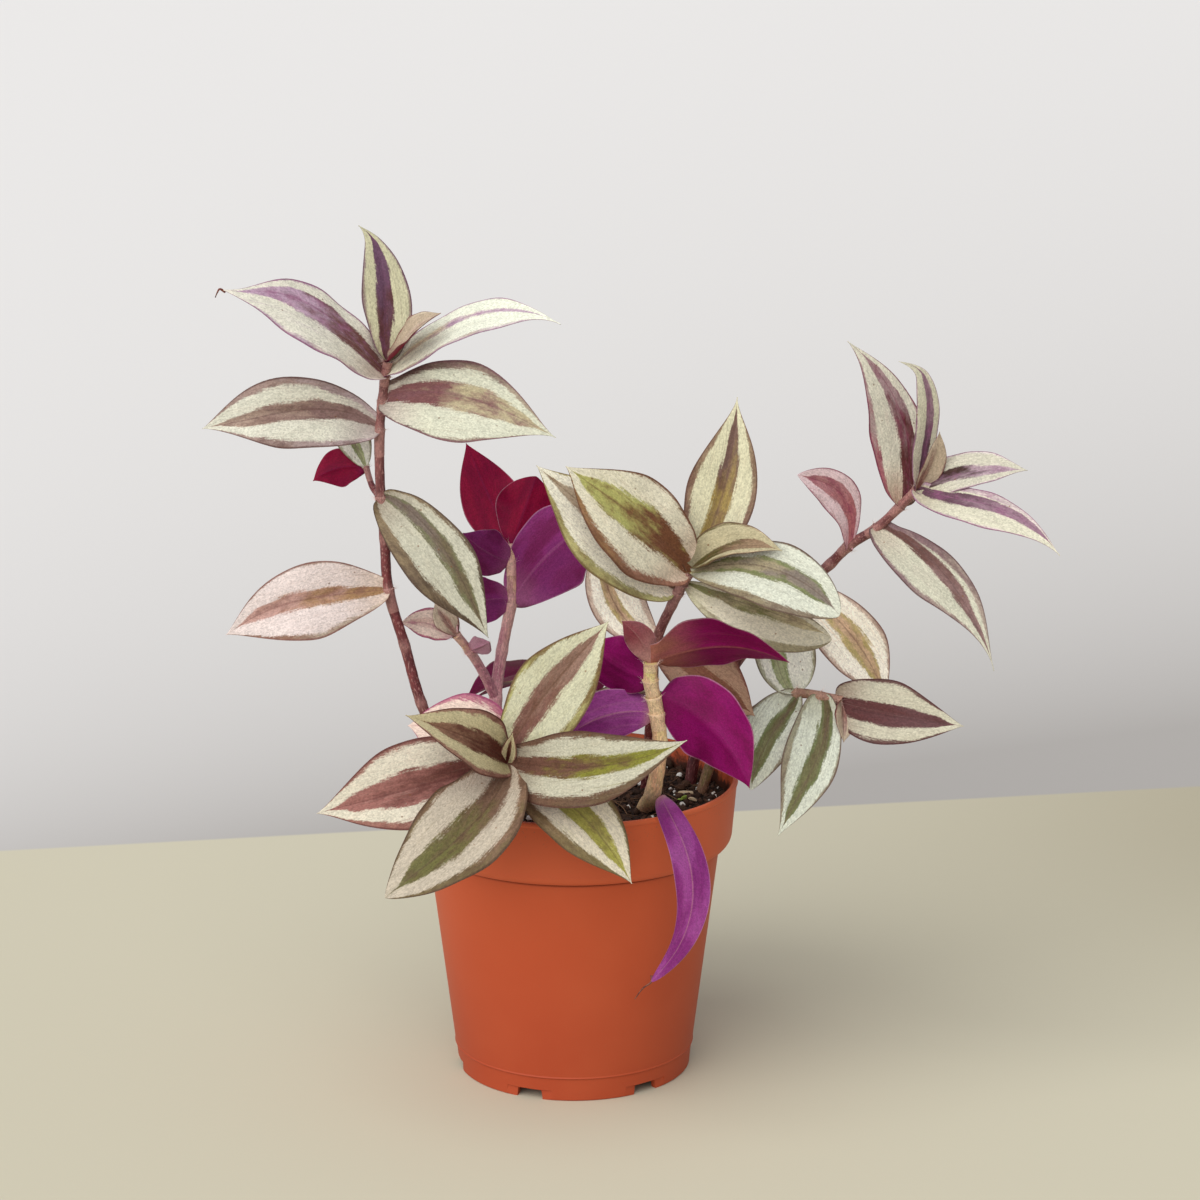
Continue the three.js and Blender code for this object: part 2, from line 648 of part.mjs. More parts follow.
// Joins the two faces of a blade round their edge.
function closeBlade(upper, under, stations, across) {
  const offset = upper.length;
  const index = [];
  const quad = (a, b, c, d) => index.push(a, b, c, a, c, d);
  for (let k = 0; k < stations - 1; k += 1) {
    const here = k * across;
    const next = here + across;
    for (let i = 0; i < across - 1; i += 1) {
      index.push(here + i, next + i, next + i + 1, here + i, next + i + 1, here + i + 1);
      const [a, b] = [offset + here + i, offset + next + i];
      index.push(a, b + 1, b, a, a + 1, b + 1);
    }
    quad(here, offset + here, offset + next, next);
    const right = across - 1;
    quad(here + right, next + right, offset + next + right, offset + here + right);
  }
  const end = (stations - 1) * across;
  for (let i = 0; i < across - 1; i += 1) {
    quad(i, i + 1, offset + i + 1, offset + i);
    quad(end + i, offset + end + i, offset + end + i + 1, end + i + 1);
  }
  return indexed([...upper, ...under], index);
}

// One leafy stem: its stem, side twigs and leaves grown together.
function shootGeometry(shoot, order) {
  const random = seeded(31 + order);
  const stem = [buriedEnd(shoot.stem), ...shoot.stem.map(vec)];
  const twigs = shoot.twigs ?? [];
  const pieces = [
    stemGeometry(stem, shoot.radius),
    ...twigs.map((twig) => stemGeometry(twig.stem.map(vec), twig.radius)),
    ...shoot.leaves.map((leaf) => leafGeometry(leaf, shoot.stem, random)),
  ];
  return toGeometry(Manifold.union(pieces.map(toSolid)).simplify(SIMPLIFY));
}

// ---- Assembly ----

function named(name, geometry, color, roughness) {
  const material = new THREE.MeshStandardMaterial({ color, roughness, metalness: 0 });
  const mesh = new THREE.Mesh(geometry, material);
  mesh.name = name;
  return mesh;
}

const part = new THREE.Group();
part.add(named('nursery_pot', potGeometry(), 0xb9582f, 0.55));
part.add(named('potting_soil', soilGeometry(), 0x33241b, 0.95));
SHOOTS.forEach((shoot, order) => {
  part.add(named(shoot.name, shootGeometry(shoot, order), shoot.colour, 0.5));
});

export default part;
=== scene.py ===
"""Looks of a zebra-striped trailing plant in a plastic nursery pot.

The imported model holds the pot, the soil and eight leafy stems as plain solids. This script puts a
finer piece in the place of each, in the same form: a smooth moulded pot, crumbly peat with perlite,
and stems whose leaves have striped faces, magenta backs, sheaths and hairs.

Shapes are worked out in millimetres and become metres when their mesh is made.
"""

import logging
import math
from dataclasses import dataclass, field
from enum import Enum

import bmesh
import bpy
import numpy as np
from mathutils import Matrix, Vector

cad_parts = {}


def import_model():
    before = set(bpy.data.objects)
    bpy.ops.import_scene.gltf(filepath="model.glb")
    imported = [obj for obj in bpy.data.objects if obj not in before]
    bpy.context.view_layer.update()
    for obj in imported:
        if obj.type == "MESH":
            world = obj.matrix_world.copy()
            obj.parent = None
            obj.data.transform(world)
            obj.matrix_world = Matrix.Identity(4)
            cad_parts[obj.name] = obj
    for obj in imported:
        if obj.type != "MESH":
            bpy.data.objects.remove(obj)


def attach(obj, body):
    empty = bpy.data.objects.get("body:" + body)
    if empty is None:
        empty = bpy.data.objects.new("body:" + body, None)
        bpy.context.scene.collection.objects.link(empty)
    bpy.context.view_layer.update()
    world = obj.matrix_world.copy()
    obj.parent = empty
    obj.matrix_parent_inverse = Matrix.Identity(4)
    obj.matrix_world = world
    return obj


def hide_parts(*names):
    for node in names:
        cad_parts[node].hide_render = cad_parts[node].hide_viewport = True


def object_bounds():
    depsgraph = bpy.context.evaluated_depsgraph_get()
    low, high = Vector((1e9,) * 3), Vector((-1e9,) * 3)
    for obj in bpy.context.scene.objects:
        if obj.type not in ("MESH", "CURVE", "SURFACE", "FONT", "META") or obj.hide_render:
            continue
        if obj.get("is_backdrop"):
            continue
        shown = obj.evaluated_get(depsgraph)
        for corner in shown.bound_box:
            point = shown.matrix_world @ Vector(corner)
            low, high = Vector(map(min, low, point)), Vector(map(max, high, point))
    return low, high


LOG = logging.getLogger("potted_plant")
MM = 0.001

Point = tuple[float, float, float]
Pair = tuple[float, float]
Paint = tuple[float, float, float, float]
Array = np.ndarray
Rng = np.random.Generator
Material = bpy.types.Material
Socket = bpy.types.NodeSocket
Scalar = Socket | float
Colour = Socket | Paint


def paint(red: int, green: int, blue: int) -> Paint:
    """Turn a screen colour into a linear one.

    Args:
        red: Its red, 0 to 255.
        green: Its green.
        blue: Its blue.

    Returns:
        The colour as a shader takes it.
    """
    channels = (c / 255.0 for c in (red, green, blue))
    linear = [c / 12.92 if c <= 0.04045 else ((c + 0.055) / 1.055) ** 2.4 for c in channels]
    return (linear[0], linear[1], linear[2], 1.0)


# ---- shaders


class Shader:
    """A procedural material that is built node by node, each giving its output to the next."""

    def __init__(self, name: str, roughness: float, specular: float) -> None:
        """Start a material.

        Args:
            name: The material's name.
            roughness: How matt it is, the same all over.
            specular: How strongly it reflects, the same all over.
        """
        self.material = bpy.data.materials.new(name)
        self.material.use_nodes = True
        self.tree = self.material.node_tree
        self.skin = self.tree.nodes["Principled BSDF"]
        self.skin.inputs["Roughness"].default_value = roughness
        self.skin.inputs["Specular IOR Level"].default_value = specular

    def add(self, kind: str, given: dict[str | int, Scalar | Colour | Point],
            options: dict[str, str] | None = None) -> bpy.types.NodeOutputs:
        """Add a node.

        Args:
            kind: Its type.
            given: What goes into its inputs: a socket is linked, and a plain value is set.
            options: Its own settings.

        Returns:
            Its outputs.
        """
        node = self.tree.nodes.new(kind)
        for name, option in (options or {}).items():
            setattr(node, name, option)
        for key, value in given.items():
            if isinstance(value, Socket):
                self.tree.links.new(value, node.inputs[key])
            else:
                node.inputs[key].default_value = value
        return node.outputs

    def carried(self, name: str) -> Socket:
        """Read a vector that the mesh carries."""
        return self.add("ShaderNodeAttribute", {}, {"attribute_name": name})["Vector"]

    def place(self) -> Socket:
        """Read the place in the object's own space, in metres."""
        return self.add("ShaderNodeTexCoord", {})["Object"]

    def split(self, vector: Socket) -> tuple[Socket, Socket, Socket]:
        """Take a vector apart into its three numbers."""
        outputs = self.add("ShaderNodeSeparateXYZ", {0: vector})
        return outputs[0], outputs[1], outputs[2]

    def stretched(self, vector: Socket, scale: Point) -> Socket:
        """Scale a vector by a different amount each way."""
        return self.add("ShaderNodeVectorMath", {0: vector, 1: scale}, {"operation": "MULTIPLY"})[0]

    def noise(self, place: Socket, scale: float, detail: float = 2.0, rough: float = 0.5) -> Socket:
        """Make soft noise from 0 to 1 at a place."""
        given = {"Vector": place, "Scale": scale, "Detail": detail, "Roughness": rough}
        return self.add("ShaderNodeTexNoise", given)["Fac"]

    def streaks(self, place: Socket, scale: Point, detail: float = 2.0, rough: float = 0.5) -> Socket:
        """Make soft noise from 0 to 1 that is finer one way than another."""
        return self.noise(self.stretched(place, scale), 1.0, detail, rough)

    def cells(self, place: Socket, scale: Point) -> bpy.types.NodeOutputs:
        """Make small cells, each with its own random colour."""
        return self.add("ShaderNodeTexVoronoi", {"Vector": self.stretched(place, scale), "Scale": 1.0})

    def glitter(self, place: Socket, scale: Point) -> Socket:
        """Make small cells, each with its own random value."""
        return self.split(self.cells(place, scale)["Color"])[0]

    def value(self, operation: str, *given: Scalar) -> Socket:
        """Do a sum with numbers or sockets."""
        return self.add("ShaderNodeMath", dict(enumerate(given)), {"operation": operation})[0]

    def plus(self, first: Scalar, second: Scalar) -> Socket:
        """Add two numbers."""
        return self.value("ADD", first, second)

    def less(self, first: Scalar, second: Scalar) -> Socket:
        """Take the second number from the first."""
        return self.value("SUBTRACT", first, second)

    def rest(self, share: Scalar) -> Socket:
        """Give what a share leaves of 1."""
        return self.less(1.0, share)

    def times(self, first: Scalar, second: Scalar) -> Socket:
        """Multiply two numbers."""
        return self.value("MULTIPLY", first, second)

    def over(self, first: Scalar, second: Scalar) -> Socket:
        """Divide the first number by the second."""
        return self.value("DIVIDE", first, second)

    def ramp(self, amount: Scalar, slope: Scalar, start: Scalar) -> Socket:
        """Multiply by a slope and add a start."""
        return self.value("MULTIPLY_ADD", amount, slope, start)

    def size(self, amount: Scalar) -> Socket:
        """Drop the sign of a number."""
        return self.value("ABSOLUTE", amount)

    def sway(self, amount: Socket, reach: float) -> Socket:
        """Turn noise from 0 to 1 into an offset of up to reach either way."""
        return self.ramp(amount, 2.0 * reach, -reach)

    def step(self, amount: Scalar, low: Scalar, high: Scalar) -> Socket:
        """Rise smoothly from 0 at low to 1 at high."""
        given = {"Value": amount, "From Min": low, "From Max": high}
        return self.add("ShaderNodeMapRange", given, {"interpolation_type": "SMOOTHSTEP"})["Result"]

    def mix(self, share: Scalar, first: Colour, second: Colour) -> Socket:
        """Blend two colours."""
        return self.add("ShaderNodeMix", {"Factor": share, 6: first, 7: second}, {"data_type": "RGBA"})[2]

    def tint(self, colour: Colour, share: Scalar, strength: float, other: Colour) -> Socket:
        """Blend a colour towards another, by strength at the most."""
        return self.mix(self.times(share, strength), colour, other)

    def dim(self, colour: Socket, amount: Socket) -> Socket:
        """Multiply a colour by a number."""
        return self.add("ShaderNodeVectorMath", {0: colour, "Scale": amount}, {"operation": "SCALE"})[0]

    def bump(self, height: Socket, depth_mm: float, strength: float) -> None:
        """Raise the surface by a height from 0 to 1."""
        given = {"Strength": strength, "Distance": depth_mm * MM, "Height": height}
        self.tree.links.new(self.add("ShaderNodeBump", given)["Normal"], self.skin.inputs["Normal"])

    def gloss(self, roughness: Socket) -> None:
        """Let the roughness vary over the surface."""
        self.tree.links.new(roughness, self.skin.inputs["Roughness"])

    def wear(self, colour: Socket) -> Material:
        """Set the colour and hand over the finished material."""
        self.tree.links.new(colour, self.skin.inputs["Base Color"])
        return self.material


# ---- finishes


@dataclass(frozen=True)
class StripedFace:
    """The upper side of a leaf: a dark centre, two silver bands and a dark margin.

    The centre and the margin have a colour near the root and another towards the tip. The flank, if
    there is one, tints the centre's sides.
    """

    name: str
    centre: Paint
    centre_far: Paint
    silver: Paint
    margin: Paint
    margin_far: Paint
    edge: Paint
    base: Paint
    flank: Paint | None = None
    fade: Pair = (0.8, 1.0)
    freckle: Paint = paint(112, 70, 40)
    roughness: float = 0.46
    specular: float = 0.16
    change: Pair = (0.2, 0.75)
    blotch_reach: float = 0.75
    fray: Point = (0.12, 0.1, 0.09)
    blur: float = 0.05
    side_blur: float = 0.01
    tip_margin: float = 0.1
    relief_mm: float = 0.16

    def shift(self, s: Shader, u: Socket, grain: Socket) -> Socket:
        """Run from the root's colours to the tip's, with blotches on the way."""
        blotch = s.streaks(grain, (0.09, 0.3, 1.0), 4.0, 0.6)
        return s.step(s.plus(u, s.sway(blotch, self.blotch_reach)), *self.change)

    def shares(self, s: Shader, u: Socket, v: Socket, across: Socket, grain: Socket) -> tuple[Socket, Socket]:
        """Work out where the bands lie, with streaky, granular edges.

        Args:
            s: The shader that is being built.
            u: How far along the leaf, 0 to 1.
            v: How far across the leaf, -1 to 1.
            across: How far out from the midrib, 0 to 1.
            grain: The place in millimetres along and across the leaf.

        Returns:
            How much each place belongs to the centre and to the margin.
        """
        centre_end, margin_one, margin_other = s.split(s.carried("bands"))
        streak = s.streaks(grain, (0.06, 1.5, 1.0), 3.0, 0.6)
        drift = s.streaks(grain, (0.11, 0.2, 1.3), 1.0)
        grit = s.streaks(grain, (1.3, 1.9, 1.6), 2.0, 0.7)
        by_streak, by_drift, by_grit = self.fray
        frayed = s.plus(s.plus(s.sway(streak, by_streak), s.sway(drift, by_drift)), s.sway(grit, by_grit))
        closing = s.times(s.rest(s.step(u, *self.fade)), centre_end)
        centre = s.step(s.less(closing, s.plus(across, frayed)), -self.blur, self.blur)
        side = s.step(v, -self.side_blur, self.side_blur)
        start = s.plus(margin_one, s.times(side, s.less(margin_other, margin_one)))
        opening = s.times(s.step(u, 0.75, 1.0), self.tip_margin)
        outward = s.plus(s.size(v), frayed)
        margin = s.step(s.less(outward, s.plus(start, opening)), -self.blur, self.blur)
        return centre, margin

    def freckles(self, s: Shader, grain: Socket) -> Socket:
        """Dot a few small brown marks.

        Args:
            s: The shader that is being built.
            grain: The place in millimetres along and across the leaf.

        Returns:
            How much each place belongs to a mark.
        """
        cells = s.cells(grain, (0.42, 0.5, 1.0))
        close = s.rest(s.step(cells["Distance"], 0.1, 0.17))
        chosen = s.step(s.split(cells["Color"])[1], 0.9, 0.92)
        return s.times(close, chosen)

    def build(self) -> Material:
        """Make the material.

        Returns:
            The material.
        """
        s = Shader(self.name, self.roughness, self.specular)
        u, v, rib = s.split(s.carried("blade"))
        grain = s.carried("grain")
        across = s.size(rib)
        fibre = s.streaks(grain, (0.04, 2.6, 1.7), 4.0, 0.7)
        cloud = s.streaks(grain, (0.16, 0.34, 2.1), 4.0, 0.6)
        glitter = s.glitter(grain, (1.7, 2.6, 1.0))
        grit = s.streaks(grain, (1.5, 2.4, 1.0), 2.0, 0.7)
        centre, margin = self.shares(s, u, v, across, grain)
        shift = self.shift(s, u, grain)
        centre_paint = s.mix(shift, self.centre, self.centre_far)
        margin_paint = s.mix(shift, self.margin, self.margin_far)
        silver = s.tint(self.silver, s.rest(s.step(u, 0.02, 0.32)), 0.6, self.base)
        silver = s.tint(silver, s.step(cloud, 0.5, 0.72), 0.17, margin_paint)
        silver = s.tint(silver, s.step(fibre, 0.52, 0.7), 0.34, centre_paint)
        pale = s.times(s.step(fibre, 0.55, 0.72), 0.13)
        colour = s.mix(centre, silver, s.mix(pale, centre_paint, self.silver))
        colour = s.mix(margin, colour, s.mix(pale, margin_paint, self.silver))
        dark = s.times(s.value("MAXIMUM", centre, margin), s.step(cloud, 0.46, 0.66))
        colour = s.tint(colour, dark, 0.55, self.edge)
        if self.flank:
            centre_end, _, _ = s.split(s.carried("bands"))
            out = s.plus(s.over(across, centre_end), s.sway(cloud, 1.2))
            colour = s.tint(colour, s.times(centre, s.step(out, 0.35, 0.9)), 0.62, self.flank)
        colour = s.tint(colour, s.step(s.size(v), 0.925, 0.975), 0.85, self.edge)
        colour = s.tint(colour, s.rest(s.step(across, 0.008, 0.04)), 0.45, self.edge)
        colour = s.tint(colour, self.freckles(s, grain), 0.7, self.freckle)
        sparkle = s.plus(s.times(glitter, 0.34), s.times(grit, 0.5))
        colour = s.dim(colour, s.plus(sparkle, s.ramp(cloud, 0.4, 0.38)))
        s.bump(s.plus(s.times(glitter, 0.4), s.plus(fibre, grit)), self.relief_mm, 0.7)
        return s.wear(colour)


@dataclass(frozen=True)
class LeafBack:
    """The under side of a leaf: smooth, deep-coloured flesh with faint parallel veins."""

    name: str
    flesh: Paint
    blush: Paint
    base: Paint
    base_reach: float = 0.34
    deep: Paint = paint(60, 4, 50)
    rim: Paint = paint(214, 170, 190)
    roughness: float = 0.44
    specular: float = 0.1
    relief_mm: float = 0.14

    def build(self) -> Material:
        """Make the material.

        Returns:
            The material.
        """
        s = Shader(self.name, self.roughness, self.specular)
        u, v, _ = s.split(s.carried("blade"))
        grain = s.carried("grain")
        patch = s.streaks(grain, (0.06, 0.14, 1.0), 3.0)
        fibre = s.streaks(grain, (0.03, 2.6, 1.3), 4.0, 0.65)
        glitter = s.glitter(grain, (2.6, 3.6, 1.0))
        colour = s.mix(s.step(patch, 0.36, 0.66), self.flesh, self.blush)
        root_end = s.rest(s.step(s.plus(u, s.sway(patch, 0.1)), 0.0, self.base_reach))
        colour = s.tint(colour, root_end, 0.8, self.base)
        colour = s.tint(colour, s.step(fibre, 0.52, 0.74), 0.14, self.base)
        colour = s.tint(colour, s.step(patch, 0.5, 0.7), 0.25, self.deep)
        colour = s.tint(colour, s.rest(s.step(s.size(v), 0.012, 0.06)), 0.35, self.base)
        colour = s.tint(colour, s.step(s.size(v), 0.955, 0.99), 0.3, self.rim)
        colour = s.dim(colour, s.ramp(glitter, 0.36, 0.82))
        s.bump(s.ramp(glitter, 0.4, fibre), self.relief_mm, 0.7)
        return s.wear(colour)


@dataclass(frozen=True)
class StemSkin:
    """The skin of a stem or sheath, streaked along its length and paler towards its young end."""

    name: str
    skin: Paint
    streak: Paint
    node: Paint
    young: Paint
    roughness: float = 0.48
    specular: float = 0.4
    relief_mm: float = 0.16

    def build(self) -> Material:
        """Make the material.

        Returns:
            The material.
        """
        s = Shader(self.name, self.roughness, self.specular)
        near_node, along, _ = s.split(s.carried("blade"))
        grain = s.carried("grain")
        lines = s.streaks(grain, (0.1, 2.2, 1.0), 3.0, 0.6)
        patch = s.streaks(grain, (0.12, 0.3, 1.0))
        pores = s.glitter(grain, (1.5, 2.4, 1.0))
        dots = s.step(s.streaks(grain, (0.9, 1.5, 1.0)), 0.54, 0.66)
        colour = s.mix(s.step(along, 0.45, 0.95), self.skin, self.young)
        colour = s.tint(colour, s.step(patch, 0.42, 0.6), 0.6, self.streak)
        colour = s.tint(colour, s.step(lines, 0.5, 0.66), 0.5, self.streak)
        colour = s.tint(colour, near_node, 0.7, self.node)
        colour = s.tint(colour, dots, 0.55, self.node)
        colour = s.dim(colour, s.ramp(pores, 0.5, 0.74))
        s.bump(s.ramp(pores, 0.4, lines), self.relief_mm, 0.8)
        return s.wear(colour)


@dataclass(frozen=True)
class FineHair:
    """Pale downy hair."""

    name: str = "downy_hair"
    root: Paint = paint(214, 176, 168)
    tip: Paint = paint(238, 226, 216)
    roughness: float = 0.6
    specular: float = 0.3

    def build(self) -> Material:
        """Make the material, paler towards each hair's tip."""
        s = Shader(self.name, self.roughness, self.specular)
        return s.wear(s.mix(s.split(s.carried("blade"))[0], self.root, self.tip))


@dataclass(frozen=True)
class MouldedPlastic:
    """Terracotta-coloured plastic with a satin, slightly dusty moulded surface.

    Heights are in metres above the ground. The middle of the wall lies at mid_wall's first number,
    and its second number further out for each metre up.
    """

    name: str = "terracotta_plastic"
    # foot is painted darker towards the bottom, painted shade; collar is painted lighter, painted light.
    foot: Paint = paint(168, 68, 38)
    body: Paint = paint(190, 82, 46)
    collar: Paint = paint(198, 90, 54)
    # Lighter colour for random worn patches, and for the painted highlight on the top of the lip.
    wear_and_highlight: Paint = paint(200, 98, 60)
    dust: Paint = paint(150, 92, 66)
    # Painted shade in the crease under the collar.
    collar_crease: Paint = paint(104, 36, 18)
    peat: Paint = paint(52, 33, 24)
    roughness: float = 0.55
    specular: float = 0.25
    relief_mm: float = 0.05
    foot_shade_heights: Pair = (0.0, 0.08)
    lit_collar_heights: Pair = (0.0745, 0.0755)
    dusty_heights: Pair = (0.084, 0.0955)
    lip_highlight_heights: Pair = (0.0944, 0.0948)
    crease_shade_height: float = 0.0747
    crease_shade_reach: Pair = (0.0002, 0.0011)
    peat_foot: Pair = (0.078, 0.079)
    peat_edge: Pair = (0.0892, 0.0926)
    mid_wall: Pair = (0.04225, 0.1)

    def stuck_peat(self, s: Shader, place: Socket) -> Socket:
        """Find where peat sticks to the inside of the wall, up to a ragged edge over the soil.

        Args:
            s: The shader that is being built.
            place: The place in metres.

        Returns:
            How much each place is covered.
        """
        side, back, height = s.split(place)
        start, slope = self.mid_wall
        radius = s.value("SQRT", s.ramp(side, side, s.times(back, back)))
        inward = s.less(s.ramp(height, slope, start), radius)
        ragged = s.plus(height, s.sway(s.noise(place, 260.0, 4.0, 0.7), 0.005))
        inside = s.times(s.step(inward, 0.0, 0.0002), s.step(height, *self.peat_foot))
        return s.times(inside, s.rest(s.step(ragged, *self.peat_edge)))

    def build(self) -> Material:
        """Make the material.

        Returns:
            The material: broad tone with painted shade towards the foot, painted light on the collar, a
                painted shade band under the collar and a painted highlight on the lip, fine mould grain, dust
                near the rim and peat stuck inside.
        """
        s = Shader(self.name, self.roughness, self.specular)
        place = s.place()
        _, _, height = s.split(place)
        cloud = s.noise(place, 22.0, 3.0)
        grain = s.noise(place, 900.0, 3.0, 0.6)
        drawn = s.streaks(place, (420.0, 420.0, 14.0))
        speck = s.noise(place, 1500.0, 1.0)
        # Painted shade: darker towards the foot. Painted light: lighter on the collar.
        body = s.mix(s.step(height, *self.foot_shade_heights), self.foot, self.body)
        body = s.mix(s.step(height, *self.lit_collar_heights), body, self.collar)
        colour = s.tint(body, s.step(cloud, 0.35, 0.7), 0.22, self.wear_and_highlight)
        dusty = s.ramp(s.step(height, *self.dusty_heights), 0.5, 0.12)
        colour = s.mix(s.times(s.step(speck, 0.66, 0.72), dusty), colour, self.dust)
        # Painted highlight: the top of the lip is tinted lighter.
        colour = s.tint(colour, s.step(height, *self.lip_highlight_heights), 0.45, self.wear_and_highlight)
        # Painted shade: a dark band in the crease under the collar.
        from_crease = s.size(s.less(height, self.crease_shade_height))
        colour = s.tint(colour, s.rest(s.step(from_crease, *self.crease_shade_reach)), 0.6, self.collar_crease)
        stuck = self.stuck_peat(s, place)
        colour = s.tint(colour, stuck, 0.94, self.peat)
        relief = s.plus(s.times(grain, 0.5), s.times(drawn, 0.35))
        s.bump(s.plus(relief, s.times(s.times(stuck, cloud), 6.0)), self.relief_mm, 0.5)
        s.gloss(s.ramp(cloud, 0.16, 0.46))
        return s.wear(colour)


@dataclass(frozen=True)
class Crumb:
    """A loose bit of the potting mix, with its own shade from piece to piece."""

    name: str
    dark: Paint
    light: Paint
    roughness: float = 0.9
    relief_mm: float = 0.12
    specular: float = 0.3

    def build(self) -> Material:
        """Make the material.

        Returns:
            The material.
        """
        s = Shader(self.name, self.roughness, self.specular)
        shade, _, _ = s.split(s.carried("blade"))
        grit = s.noise(s.place(), 1400.0, 3.0, 0.65)
        s.bump(grit, self.relief_mm, 0.9)
        return s.wear(s.mix(s.ramp(grit, 0.5, s.times(shade, 0.6)), self.dark, self.light))


@dataclass(frozen=True)
class PaleFloor:
    """A plain pale surface, warm near the pot and a cooler tone beyond a straight line.

    Beyond the line it grows paler away from the pot, and less so towards the right: painted shade, darker
    near the line and towards the right. Before the line it is painted darker on the right near the line,
    painted shade.
    """

    name: str = "pale_floor"
    near: Paint = paint(202, 196, 174)
    # Painted shade: the warm part darkens to this on the right, near the line.
    near_line_shade: Paint = paint(172, 164, 142)
    far: Paint = paint(172, 168, 164)
    furthest: Paint = paint(238, 236, 234)
    roughness: float = 0.85
    specular: float = 0.2
    line_distance: float = 0.257
    line_slope: float = 0.179
    line_blur: Pair = (-0.001, 0.002)
    fan: float = 1.115
    brightest: float = 0.88
    falling: Pair = (0.6, 0.24)
    least_distance: float = 0.2
    darker_right: Pair = (0.0, 0.35)
    darker_back: Pair = (-0.05, 0.25)

    def build(self) -> Material:
        """Make the material.

        Returns:
            The material.
        """
        s = Shader(self.name, self.roughness, self.specular)
        across, back, _ = s.split(s.place())
        from_line = s.less(back, s.ramp(across, self.line_slope, self.line_distance))
        sideways = s.over(across, s.plus(back, self.fan))
        # Painted shade beyond the line: darker near the line and towards the right.
        far_shade = s.over(s.ramp(sideways, *self.falling), s.value("MAXIMUM", back, self.least_distance))
        beyond = s.mix(s.less(self.brightest, far_shade), self.far, self.furthest)
        # Painted shade on the right, near the line.
        near_shade = s.times(s.step(across, *self.darker_right), s.step(back, *self.darker_back))
        near = s.mix(near_shade, self.near, self.near_line_shade)
        return s.wear(s.mix(s.step(from_line, *self.line_blur), near, beyond))


def striped(name: str, *colours: tuple[int, int, int], **more: Pair) -> StripedFace:
    """Make a leaf's upper side from screen colours, in the order of its fields."""
    return StripedFace(f"leaf_{name}", *(paint(*colour) for colour in colours), **more)


